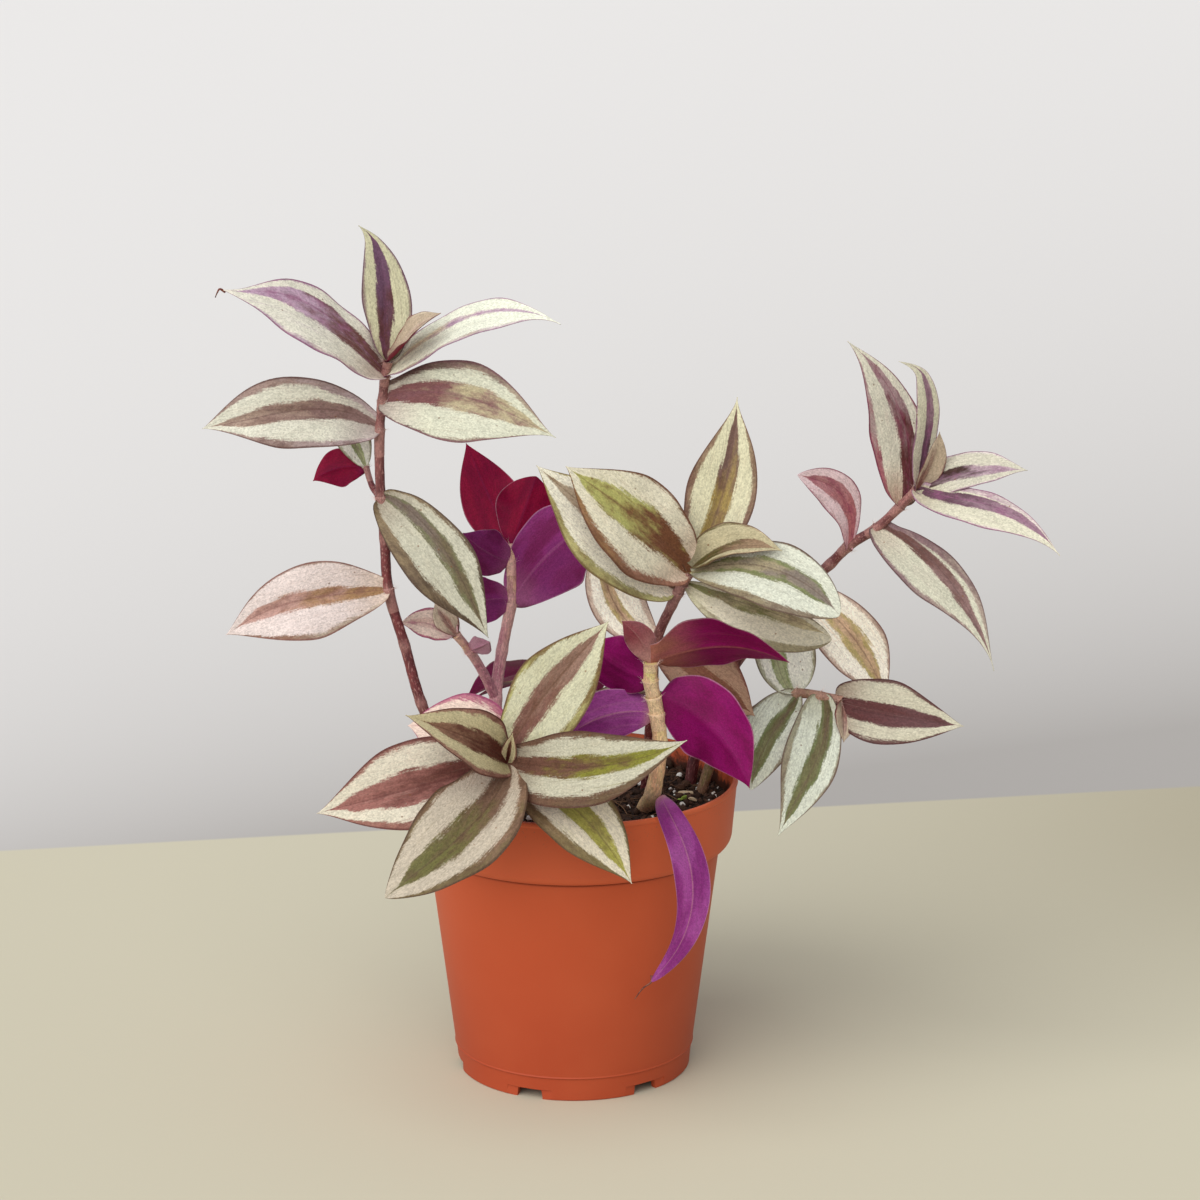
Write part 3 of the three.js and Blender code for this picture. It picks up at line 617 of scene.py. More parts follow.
class Tone(Enum):
    """How a leaf's upper side is coloured."""

    VIOLET = striped(
        "violet", (108, 70, 66), (190, 160, 182), (228, 224, 208), (218, 206, 192), (190, 168, 180),
        (140, 88, 120), (146, 110, 98))
    INK = striped(
        "ink", (84, 46, 50), (100, 70, 92), (190, 186, 155), (142, 126, 110), (140, 122, 120), (92, 56, 78),
        (134, 122, 94))
    BUD = striped(
        "bud", (144, 106, 94), (192, 174, 154), (180, 162, 140), (128, 84, 76), (204, 190, 166),
        (108, 52, 58), (88, 48, 48))
    LILAC = striped(
        "lilac", (216, 202, 170), (186, 166, 178), (222, 224, 206), (178, 160, 142), (200, 190, 186),
        (150, 112, 140), (250, 246, 216))
    HEATHER = striped(
        "heather", (62, 38, 34), (174, 150, 160), (194, 190, 172), (184, 170, 160), (214, 204, 198),
        (130, 92, 116), (164, 152, 122))
    DUSKY = striped(
        "dusky", (134, 106, 102), (166, 142, 128), (222, 220, 204), (176, 156, 156), (160, 136, 128),
        (98, 70, 66), (150, 126, 130))
    BROWN_OLIVE = striped(
        "brown_olive", (116, 74, 74), (176, 164, 132), (200, 200, 180), (108, 86, 78), (158, 142, 124),
        (110, 72, 78), (176, 156, 150))
    SAGE = striped(
        "sage", (108, 94, 84), (100, 88, 64), (182, 179, 160), (128, 110, 84), (76, 60, 44), (74, 56, 44),
        (152, 138, 122), (106, 110, 74))
    PINK = striped(
        "pink", (164, 128, 92), (192, 152, 142), (226, 211, 206), (190, 172, 154), (140, 106, 88),
        (128, 88, 80), (200, 178, 156))
    ROSY_RIM = striped(
        "rosy_rim", (198, 164, 152), (206, 176, 164), (215, 192, 178), (165, 105, 112), (170, 108, 122),
        (140, 60, 96), (160, 100, 116))
    OLIVE = striped(
        "olive", (118, 80, 70), (138, 108, 94), (194, 192, 164), (174, 170, 110), (118, 96, 58),
        (98, 68, 50), (150, 140, 84))
    HAZEL = striped(
        "hazel", (140, 108, 88), (180, 162, 138), (238, 234, 214), (184, 178, 122), (166, 156, 104),
        (116, 90, 62), (240, 226, 206))
    LIME = striped(
        "lime", (150, 128, 70), (110, 84, 76), (206, 201, 170), (128, 98, 82), (142, 120, 96), (96, 66, 56),
        (186, 174, 128))
    BRONZE = striped(
        "bronze", (110, 70, 48), (174, 172, 104), (220, 213, 191), (148, 106, 88), (138, 104, 70),
        (100, 64, 48), (170, 132, 112))
    MAROON = striped(
        "maroon", (112, 70, 62), (152, 102, 94), (212, 204, 184), (126, 86, 78), (150, 104, 92),
        (94, 52, 48), (178, 150, 132))
    CLARET = striped(
        "claret", (92, 52, 52), (96, 62, 64), (194, 189, 168), (104, 76, 72), (94, 62, 58), (76, 42, 42),
        (146, 120, 108))
    CHERRY = striped(
        "cherry", (84, 40, 32), (140, 104, 84), (196, 184, 146), (142, 100, 88), (150, 114, 96),
        (82, 44, 38), (154, 142, 100), fade=(0.66, 0.88))
    FOREST = striped(
        "forest", (108, 82, 66), (100, 96, 54), (184, 172, 154), (128, 100, 80), (108, 92, 62),
        (80, 58, 44), (178, 158, 138))
    GRASS = striped(
        "grass", (140, 132, 68), (158, 152, 74), (212, 202, 180), (134, 112, 80), (116, 102, 66),
        (92, 68, 46), (212, 190, 168))
    UMBER_GREEN = striped(
        "umber_green", (102, 70, 58), (122, 120, 44), (182, 178, 158), (102, 76, 60), (100, 80, 58),
        (80, 52, 42), (112, 90, 74))
    MOSS = striped(
        "moss", (72, 66, 28), (140, 116, 92), (174, 164, 132), (88, 80, 42), (184, 168, 136), (92, 64, 50),
        (46, 32, 14))
    MINT = striped(
        "mint", (160, 164, 124), (168, 168, 136), (228, 226, 214), (176, 176, 150), (158, 150, 124),
        (112, 98, 80), (200, 200, 182), (122, 136, 80))
    REED = striped(
        "reed", (118, 116, 72), (182, 168, 132), (200, 192, 170), (182, 176, 146), (140, 130, 102),
        (104, 86, 68), (176, 170, 138))
    STONE = striped(
        "stone", (160, 148, 118), (122, 110, 100), (200, 202, 186), (138, 126, 98), (126, 112, 94),
        (86, 66, 54), (158, 150, 122), (106, 122, 66))
    FERN = striped(
        "fern", (98, 86, 58), (120, 118, 80), (212, 216, 200), (152, 148, 124), (150, 140, 118),
        (100, 78, 68), (170, 168, 142), (108, 124, 76))
    COPPER = striped(
        "copper", (134, 88, 68), (120, 78, 60), (166, 132, 110), (126, 88, 74), (132, 90, 76),
        (112, 62, 54), (136, 78, 76))
    PLUM = striped(
        "plum", (90, 46, 46), (158, 132, 134), (212, 208, 190), (154, 92, 98), (170, 146, 144),
        (112, 40, 68), (162, 116, 84))
    ORCHID = striped(
        "orchid", (94, 66, 78), (144, 114, 128), (208, 204, 182), (172, 150, 156), (212, 198, 192),
        (132, 80, 112), (152, 136, 114))
    UMBER = striped(
        "umber", (98, 66, 60), (128, 100, 96), (192, 190, 170), (130, 104, 106), (158, 142, 130),
        (88, 62, 62), (186, 174, 156))
    BLUSH = striped(
        "blush", (226, 192, 158), (186, 158, 122), (250, 244, 226), (208, 184, 166), (200, 178, 160),
        (110, 72, 64), (216, 186, 164), (176, 166, 96))
    CRIMPED = striped(
        "crimped", (174, 106, 110), (182, 126, 132), (232, 206, 212), (202, 164, 170), (210, 180, 186),
        (128, 48, 78), (176, 100, 116))


class Back(Enum):
    """How a leaf's under side is coloured."""

    CRIMSON = LeafBack("back_crimson", paint(114, 2, 46), paint(142, 12, 52), paint(112, 18, 66), 0.2)
    MAGENTA = LeafBack("back_magenta", paint(106, 6, 68), paint(130, 12, 90), paint(116, 24, 80), 0.3)
    RUBY = LeafBack("back_ruby", paint(108, 6, 64), paint(128, 10, 82), paint(164, 108, 86), 0.42)
    GRAPE = LeafBack("back_grape", paint(116, 34, 84), paint(140, 52, 118), paint(160, 92, 134))
    VIOLET = LeafBack("back_violet", paint(120, 40, 106), paint(150, 70, 138), paint(176, 128, 130), 0.2)
    ROSE = LeafBack("back_rose", paint(168, 116, 138), paint(184, 142, 158), paint(150, 86, 102), 0.3)
    COPPER = LeafBack("back_copper", paint(140, 66, 76), paint(148, 88, 92), paint(184, 140, 132), 0.7)


class Bark(Enum):
    """How a stem is coloured."""

    RUSSET = StemSkin(
        "stem_russet", paint(112, 48, 50), paint(82, 34, 38), paint(178, 132, 124), paint(146, 98, 94))
    MAUVE = StemSkin(
        "stem_mauve", paint(196, 138, 146), paint(148, 78, 104), paint(210, 162, 160), paint(228, 194, 148))
    STRAW = StemSkin(
        "stem_straw", paint(232, 202, 150), paint(214, 156, 128), paint(230, 200, 168), paint(214, 204, 132))
    OLIVE = StemSkin(
        "stem_olive", paint(142, 128, 84), paint(136, 88, 78), paint(178, 136, 118), paint(150, 116, 98))
    DRIED = StemSkin(
        "stem_dried", paint(112, 52, 40), paint(84, 36, 34), paint(150, 96, 70), paint(70, 36, 30))


class Bit(Enum):
    """How each sort of bit in the potting mix is coloured."""

    BED = Crumb("peat_bed", paint(26, 16, 12), paint(62, 42, 32))
    CRUMB = Crumb("peat_crumb", paint(30, 19, 15), paint(92, 64, 48))
    PERLITE = Crumb("perlite", paint(206, 200, 188), paint(246, 244, 238), 0.75, 0.2)
    FIBRE = Crumb("peat_fibre", paint(52, 34, 26), paint(128, 96, 70))
    CHIP = Crumb("wood_chip", paint(176, 148, 112), paint(226, 206, 172), 0.7)
    MOSS = Crumb("moss_bit", paint(104, 128, 44), paint(164, 182, 84), 0.6)


Finish = StripedFace | LeafBack | StemSkin | FineHair | MouldedPlastic | Crumb | PaleFloor


class Workshop:
    """Hands out each finish's material, made once."""

    def __init__(self) -> None:
        """Start with no materials made."""
        self._made: dict[str, Material] = {}

    def material(self, finish: Finish) -> Material:
        """Give the material of a finish.

        Args:
            finish: The finish.

        Returns:
            Its material, which is made the first time it is asked for.
        """
        if finish.name not in self._made:
            self._made[finish.name] = finish.build()
        return self._made[finish.name]


# ---- meshes


def show(name: str, data: bpy.types.ID) -> bpy.types.Object:
    """Put an object in the scene.

    Args:
        name: Its name.
        data: Its mesh, light or camera.

    Returns:
        The object, at the origin.
    """
    shown = bpy.data.objects.new(name, data)
    bpy.context.scene.collection.objects.link(shown)
    return shown


def rows(*parts: Array | float) -> Array:
    """Put numbers side by side, as the last axis."""
    return np.stack(np.broadcast_arrays(*parts), axis=-1)


@dataclass
class Pile:
    """Gathers closed shapes in millimetres, with what they carry, into one mesh."""

    materials: list[Material] = field(default_factory=list)
    points: list[Array] = field(default_factory=list)
    blade: list[Array] = field(default_factory=list)
    grain: list[Array] = field(default_factory=list)
    bands: list[Array] = field(default_factory=list)
    faces: list[Array] = field(default_factory=list)
    slots: list[Array] = field(default_factory=list)
    count: int = 0

    def slot(self, material: Material) -> int:
        """Give the slot number of a material.

        Args:
            material: The material, which is added if it is new.

        Returns:
            Its slot number.
        """
        if material not in self.materials:
            self.materials.append(material)
        return self.materials.index(material)

    def add(self, points: Array, faces: Array, slots: Array | int,
            blade: Array | float = 0.0, grain: Array | None = None,
            bands: Point = (0.0, 0.0, 0.0)) -> None:
        """Add one shape.

        Args:
            points: Its corners, in millimetres.
            faces: Its faces, with four corners each, or three and a repeat of the third.
            slots: The material slot of each face, or of all of them.
            blade: What the shaders read as blade, for each corner or for all of them.
            grain: What the shaders read as grain, which is the place if it isn't given.
            bands: What the shaders read as bands, the same all over.
        """
        total = len(points)
        self.points.append(points)
        self.faces.append(faces + self.count)
        self.slots.append(np.broadcast_to(np.asarray(slots), (len(faces),)))
        carried = np.zeros((total, 3))
        carried[:, :] = np.reshape(blade, (-1, 1)) if np.ndim(blade) < 2 else blade
        self.blade.append(carried)
        self.grain.append(points if grain is None else grain)
        self.bands.append(np.tile(bands, (total, 1)))
        self.count += total

    def build(self, name: str, sharp_degrees: float = 60.0) -> bpy.types.Object:
        """Make the object.

        Args:
            name: Its name.
            sharp_degrees: Edges that turn by more than this stay crisp.

        Returns:
            The object, at the origin, in metres.
        """
        faces = [face[:3] if face[2] == face[3] else face for face in np.concatenate(self.faces).tolist()]
        mesh = bpy.data.meshes.new(name)
        mesh.from_pydata((np.concatenate(self.points) * MM).tolist(), [], faces)
        for material in self.materials:
            mesh.materials.append(material)
        mesh.polygons.foreach_set("material_index", np.concatenate(self.slots).astype(np.int32))
        for key, parts in (("blade", self.blade), ("grain", self.grain), ("bands", self.bands)):
            layer = mesh.attributes.new(key, "FLOAT_VECTOR", "POINT")
            layer.data.foreach_set("vector", np.concatenate(parts).astype(np.float32).ravel())
        mesh.polygons.foreach_set("use_smooth", np.ones(len(faces), dtype=bool))
        mesh.set_sharp_from_angle(angle=math.radians(sharp_degrees))
        mesh.update()
        return show(name, mesh)


def settle(piece: bpy.types.Object, slot: str, *nodes: str) -> None:
    """Let a piece ride on the object and stand for the nodes it replaces.

    Args:
        piece: The piece.
        slot: Not used.
        nodes: The nodes that it replaces, if any.
    """
    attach(piece, "root")
    if nodes:
        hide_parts(*nodes)
    LOG.info("%s: %d faces", piece.name, len(piece.data.polygons))


def unit(vectors: Array) -> Array:
    """Scale vectors to length 1."""
    return vectors / np.linalg.norm(vectors, axis=-1, keepdims=True)


def ring_faces(rings: int, sides: int) -> Array:
    """List the faces between stacked rings of points.

    Args:
        rings: How many rings there are.
        sides: How many points each has.

    Returns:
        The faces, with four corners each.
    """
    k, i = np.meshgrid(np.arange(rings - 1), np.arange(sides), indexing="ij")
    low = k * sides
    after = (i + 1) % sides
    return rows(low + i, low + after, low + sides + after, low + sides + i).reshape(-1, 4)


def cap_faces(ring_start: int, sides: int, middle: int, outward: bool) -> Array:
    """Close a ring with a fan round a middle point.

    Args:
        ring_start: The number of the ring's first point.
        sides: How many points the ring has.
        middle: The number of the middle point.
        outward: Whether the fan goes round the way the ring does.

    Returns:
        The faces, with the third corner repeated.
    """
    here = ring_start + np.arange(sides)
    after = ring_start + (np.arange(sides) + 1) % sides
    first, second = (here, after) if outward else (after, here)
    return rows(first, second, middle, middle)


@dataclass
class Draw:
    """Repeatable random numbers from 0 to 1, the same run as the solids use."""

    state: int
    times: int = 1664525
    plus: int = 1013904223
    span: int = 2 ** 32

    def next(self) -> float:
        """Draw the next number."""
        self.state = (self.state * self.times + self.plus) % self.span
        return self.state / self.span


# ---- leaves and stems


@dataclass(frozen=True)
class Leaf:
    """One leaf, in millimetres: it grows at a node of its stem, or at a root of its own.

    Rise and sway bend its midrib as shares of its length, and lean shifts it across the blade, each
    near the root and near the tip, or alike. Centre and margin say where the dark bands end, as shares
    of the half width, one margin for each side.
    """

    tip: Point
    width: float
    face: Point
    node: int | None = None
    root: Point | None = None
    rise: float | Pair = 0.0
    sway: float | Pair = 0.0
    belly: float = 0.45
    sharp: float = 1.15
    fold: float = 0.0
    tone: Tone = Tone.DUSKY
    back: Back = Back.MAGENTA
    hook: Point = (0.0, 0.0, 0.0)
    lean: float | Pair = 0.0
    centre: float = 0.29
    margin: Pair = (0.85, 0.85)
    dry_tip: Point | None = None


@dataclass(frozen=True)
class Twig:
    """A small side branch."""

    radius: Pair
    stem: tuple[Point, ...]


@dataclass(frozen=True)
class Shoot:
    """A leafy stem: its run of nodes from the soil up, and what grows on it."""

    name: str
    slot: str
    radius: Pair
    stem: tuple[Point, ...]
    leaves: tuple[Leaf, ...]
    bark: Bark = Bark.OLIVE
    twigs: tuple[Twig, ...] = ()


@dataclass(frozen=True)
class BladeForm:
    """The form that all leaves share."""

    stations: int = 46
    across: int = 23
    thick: float = 0.56
    edge_share: float = 0.3
    cup: float = 0.15
    bulge: float = 0.07
    wave: float = 0.035
    waves: int = 3
    ripple: float = 0.03
    ripples: int = 8
    ripple_turn: float = 2.3
    ripple_skew: float = 2.0
    fold_ease: float = 0.6
    root_power: float = 0.5
    root_half: float = 1.3
    tip_half: float = 0.14
    groove: float = 0.3
    groove_share: float = 0.09
    groove_most: float = 0.08
    groove_ends: float = 1.3
    clasp: float = 0.9
    clasp_reach: float = 0.1
    hook_start: float = 0.86
    scallop: float = 0.035
    scallops: Pair = (11.0, 9.4)
    scallop_turns: Pair = (1.7, 3.1)
    lean_rate: float = 1.4
    lean_start: float = 0.2
    edge_power: int = 5
    tip_share: float = 0.5
    tip_power: int = 8
    pattern_step: float = 17.0

    def outline(self, u: Array, belly: float, sharp: float) -> Array:
        """Give half the width as a share of the widest half.

        Args:
            u: How far along, 0 to 1, for each station.
            belly: Where the leaf is widest.
            sharp: How pointed its tip is.

        Returns:
            The share for each station.
        """
        skew = math.log(0.5) / math.log(belly)
        round_part = np.clip(np.sin(np.pi * u ** skew), 0.0, 1.0)
        return round_part ** (self.root_power + (sharp - self.root_power) * u)

    def midrib(self, leaf: Leaf, root: Array, u: Array) -> tuple[Array, ...]:
        """Follow a leaf's midrib.

        Args:
            leaf: The leaf.
            root: Where it grows from.
            u: How far along, 0 to 1, for each station.

        Returns:
            For each station its point, direction, the way its face looks, and its side.
        """
        tip = np.array(leaf.tip, dtype=float)
        length = np.linalg.norm(tip - root)
        chord = (tip - root) / length
        face = np.array(leaf.face, dtype=float)
        face = unit(face - face.dot(chord) * chord)
        side = np.cross(face, chord)
        rise, sway = np.broadcast_to(leaf.rise, 2), np.broadcast_to(leaf.sway, 2)
        first = root + length * (chord / 3 + rise[0] * face + sway[0] * side)
        second = root + length * (2 * chord / 3 + rise[1] * face + sway[1] * side)
        t = u[:, None]
        left = 1 - t
        point = left ** 3 * root + 3 * left ** 2 * t * first + 3 * left * t * t * second + t ** 3 * tip
        along = left ** 2 * (first - root) + 2 * left * t * (second - first) + t * t * (tip - second)
        along = unit(along)
        faces = unit(face - (along @ face)[:, None] * along)
        return point, along, faces, np.cross(faces, along)

    def from_rib(self, leaf: Leaf, u: Array, v: Array) -> Array:
        """Tell how far out from the leaning midrib each place lies.

        Args:
            leaf: The leaf.
            u: How far along, as a column.
            v: How far across, -1 to 1, as a row.

        Returns:
            A grid from -1 at one edge, through 0 on the midrib, to 1 at the other.
        """
        start, end = np.broadcast_to(leaf.lean, 2)
        rib = start + (end - start) * np.clip(self.lean_rate * u - self.lean_start, 0, 1)
        return (v - rib) / (1 - rib * v)

    def lift(self, leaf: Leaf, u: Array, v: Array, half: Array, phase: float) -> Array:
        """Tell how far each place stands off the flat, in millimetres, towards the face.

        Args:
            leaf: The leaf.
            u: How far along, as a column.
            v: How far across, -1 to 1, as a row.
            half: Half the width at each station, as a column.
            phase: Where the wave of the edge starts.

        Returns:
            A grid of heights.
        """
        shape = self.cup * v * v + leaf.fold * np.abs(v) * (1 - self.fold_ease * u)
        bulge = self.bulge * (1 - (2 * np.abs(v) - 1) ** 2) * np.sin(np.pi * u)
        wave = 2 * self.wave * v * np.abs(v) * np.sin(self.waves * np.pi * u + phase)
        turn = self.ripples * np.pi * u + self.ripple_turn * phase + self.ripple_skew * v
        ripple = self.ripple * np.abs(v) ** 3 * np.sin(turn)
        clasp = self.clasp * np.clip(1 - u / self.clasp_reach, 0, 1) ** 2 * v * v
        rib = self.from_rib(leaf, u, v)
        ends = np.clip(self.groove_ends * np.sin(np.pi * u), 0, 1)
        groove = np.exp(-((rib / self.groove_share) ** 2)) * ends
        depth = np.minimum(self.groove, self.groove_most * half)
        return half * (shape + bulge + wave + ripple + clasp) - depth * groove

    def faces(self) -> tuple[Array, Array]:
        """List a blade's faces.

        Returns:
            The faces, and for each whether it is on the under side.
        """
        n, m = self.stations, self.across
        grid = np.arange(n * m).reshape(n, m)
        upper = rows(grid[:-1, :-1], grid[1:, :-1], grid[1:, 1:], grid[:-1, 1:]).reshape(-1, 4)
        under = upper[:, ::-1] + n * m
        low = grid + n * m
        left = rows(grid[:-1, 0], low[:-1, 0], low[1:, 0], grid[1:, 0])
        right = rows(grid[:-1, -1], grid[1:, -1], low[1:, -1], low[:-1, -1])
        root = rows(grid[0, :-1], grid[0, 1:], low[0, 1:], low[0, :-1])
        tip = rows(grid[-1, :-1], low[-1, :-1], low[-1, 1:], grid[-1, 1:])
        faces = np.concatenate([upper, left, right, root, tip, under])
        below = np.zeros(len(faces), dtype=bool)
        below[-len(under):] = True
        return faces, below

    def grow(self, pile: Pile, leaf: Leaf, root: Array, phase: float, number: int,
             slots: tuple[int, int]) -> None:
        """Add one leaf to a pile.

        Args:
            pile: The pile.
            leaf: The leaf.
            root: Where it grows from.
            phase: Where the wave of its edge starts.
            number: The leaf's own number, which sets its pattern apart.
            slots: The material slots of its upper and under side.
        """
        u = 0.5 - 0.5 * np.cos(np.pi * np.linspace(0, 1, self.stations))
        v = np.linspace(-1, 1, self.across)[None, :]
        point, _, face, side = self.midrib(leaf, root, u)
        least = np.interp(u, [0, 1 / 3, 1], [self.root_half, self.tip_half, self.tip_half])
        half = np.maximum(leaf.width / 2 * self.outline(u, leaf.belly, leaf.sharp), least)[:, None]
        column = u[:, None]
        one_side, other_side = (
            np.clip(way * v, 0, 1) * np.sin(rate * column + turn * phase)
            for way, rate, turn in zip((1, -1), self.scallops, self.scallop_turns)
        )
        half = half * (1 + self.scallop * np.sin(np.pi * column) * (one_side + other_side))
        height = self.lift(leaf, column, v, half, phase)
        sideways = (half * v)[..., None] * side[:, None, :]
        middle = point[:, None, :] + sideways + height[..., None] * face[:, None, :]
        curl = np.clip((u - self.hook_start) / (1 - self.hook_start), 0, 1) ** 2
        middle += curl[:, None, None] * np.array(leaf.hook)
        thin = 1 - (1 - self.edge_share) * np.abs(v) ** self.edge_power
        thick = self.thick * thin * (1 - self.tip_share * column ** self.tip_power)
        shift = (thick / 2)[..., None] * face[:, None, :]
        points = np.concatenate([(middle + shift).reshape(-1, 3), (middle - shift).reshape(-1, 3)])
        steps = np.linalg.norm(np.diff(point, axis=0), axis=1)
        run = np.concatenate([[0], np.cumsum(steps)])[:, None]
        blade, grain = (
            np.tile(rows(*parts).reshape(-1, 3), (2, 1))
            for parts in ((column, v, self.from_rib(leaf, column, v)),
                          (run, half * v, self.pattern_step * number))
        )
        faces, below = self.faces()
        bands = (leaf.centre, *leaf.margin)
        pile.add(points, faces, np.where(below, slots[1], slots[0]), blade, grain, bands)


class StemPath:
    """A smooth path through a stem's nodes."""

    def __init__(self, nodes: Array) -> None:
        """Start a path.

        Args:
            nodes: The points that it goes through, in millimetres.
        """
        self.nodes = nodes
        self.spans = len(nodes) - 1

    def point(self, at: float) -> Array:
        """Find a place on the path.

        Args:
            at: How far along, as a share of the spans, 0 to 1.

        Returns:
            The point.
        """
        place = min(max(at, 0.0), 1.0) * self.spans
        i = min(int(place), self.spans - 1)
        w = place - i
        p1, p2 = self.nodes[i], self.nodes[i + 1]
        p0 = self.nodes[i - 1] if i > 0 else 2 * p1 - p2
        p3 = self.nodes[i + 2] if i + 2 <= self.spans else 2 * p2 - p1
        d0, d1, d2 = (np.sqrt(np.linalg.norm(b - a)) for a, b in ((p0, p1), (p1, p2), (p2, p3)))
        t1 = ((p1 - p0) / d0 - (p2 - p0) / (d0 + d1) + (p2 - p1) / d1) * d1
        t2 = ((p2 - p1) / d1 - (p3 - p1) / (d1 + d2) + (p3 - p2) / d2) * d1
        square, cube = -3 * p1 + 3 * p2 - 2 * t1 - t2, 2 * p1 - 2 * p2 + t1 + t2
        return p1 + t1 * w + square * w ** 2 + cube * w ** 3

    def along(self, at: float) -> Array:
        """Give the direction at a share of the path."""
        return unit(self.point(at + 1e-3) - self.point(at - 1e-3))

    def length(self) -> float:
        """Give the length in millimetres."""
        points = np.array([self.point(t) for t in np.linspace(0, 1, 80)])
        return float(np.linalg.norm(np.diff(points, axis=0), axis=1).sum())


STEM_PATTERN_STEP = 13.0
FAR_AWAY = 99.0


def tube(pile: Pile, path: StemPath, places: Array, radii: Array, slot: int,
         node_share: Array, sides: int = 18, number: int = 0) -> None:
    """Add a round solid along a path.

    Args:
        pile: The pile that it goes into.
        path: The path.
        places: Where each ring stands, as shares of the path, which may turn back on itself.
        radii: The radius of each ring, in millimetres.
        slot: The material slot.
        node_share: How much each ring belongs to a node, or its shade in the potting mix, 0 to 1.
        sides: How many sides it has.
        number: Sets its pattern apart from others.
    """
    angle = 2 * np.pi * np.arange(sides) / sides
    side = np.array([1.0, 0.0, 0.0])
    rings = []
    for at, radius in zip(places, radii):
        along = path.along(at)
        side = unit(side - side.dot(along) * along)
        other = np.cross(along, side)
        rim = np.cos(angle)[:, None] * side + np.sin(angle)[:, None] * other
        rings.append(path.point(at) + radius * rim)
    points = np.concatenate([*rings, [path.point(places[0]), path.point(places[-1])]])
    last = (len(places) - 1) * sides
    total = len(places) * sides
    faces = np.concatenate([
        ring_faces(len(places), sides),
        cap_faces(0, sides, total, False),
        cap_faces(last, sides, total + 1, True),
    ])
    length = path.length()
    round_run = np.tile(np.abs(angle - np.pi) * radii.mean(), len(places))
    run = np.repeat(places * length, sides)
    grain = rows(run, round_run, STEM_PATTERN_STEP * number)
    grain = np.concatenate([grain, grain[[0, last]]])
    ends = [0, len(places) - 1]
    shares = rows(node_share, places, 0.0)
    pile.add(points, faces, slot, np.concatenate([np.repeat(shares, sides, axis=0), shares[ends]]), grain)


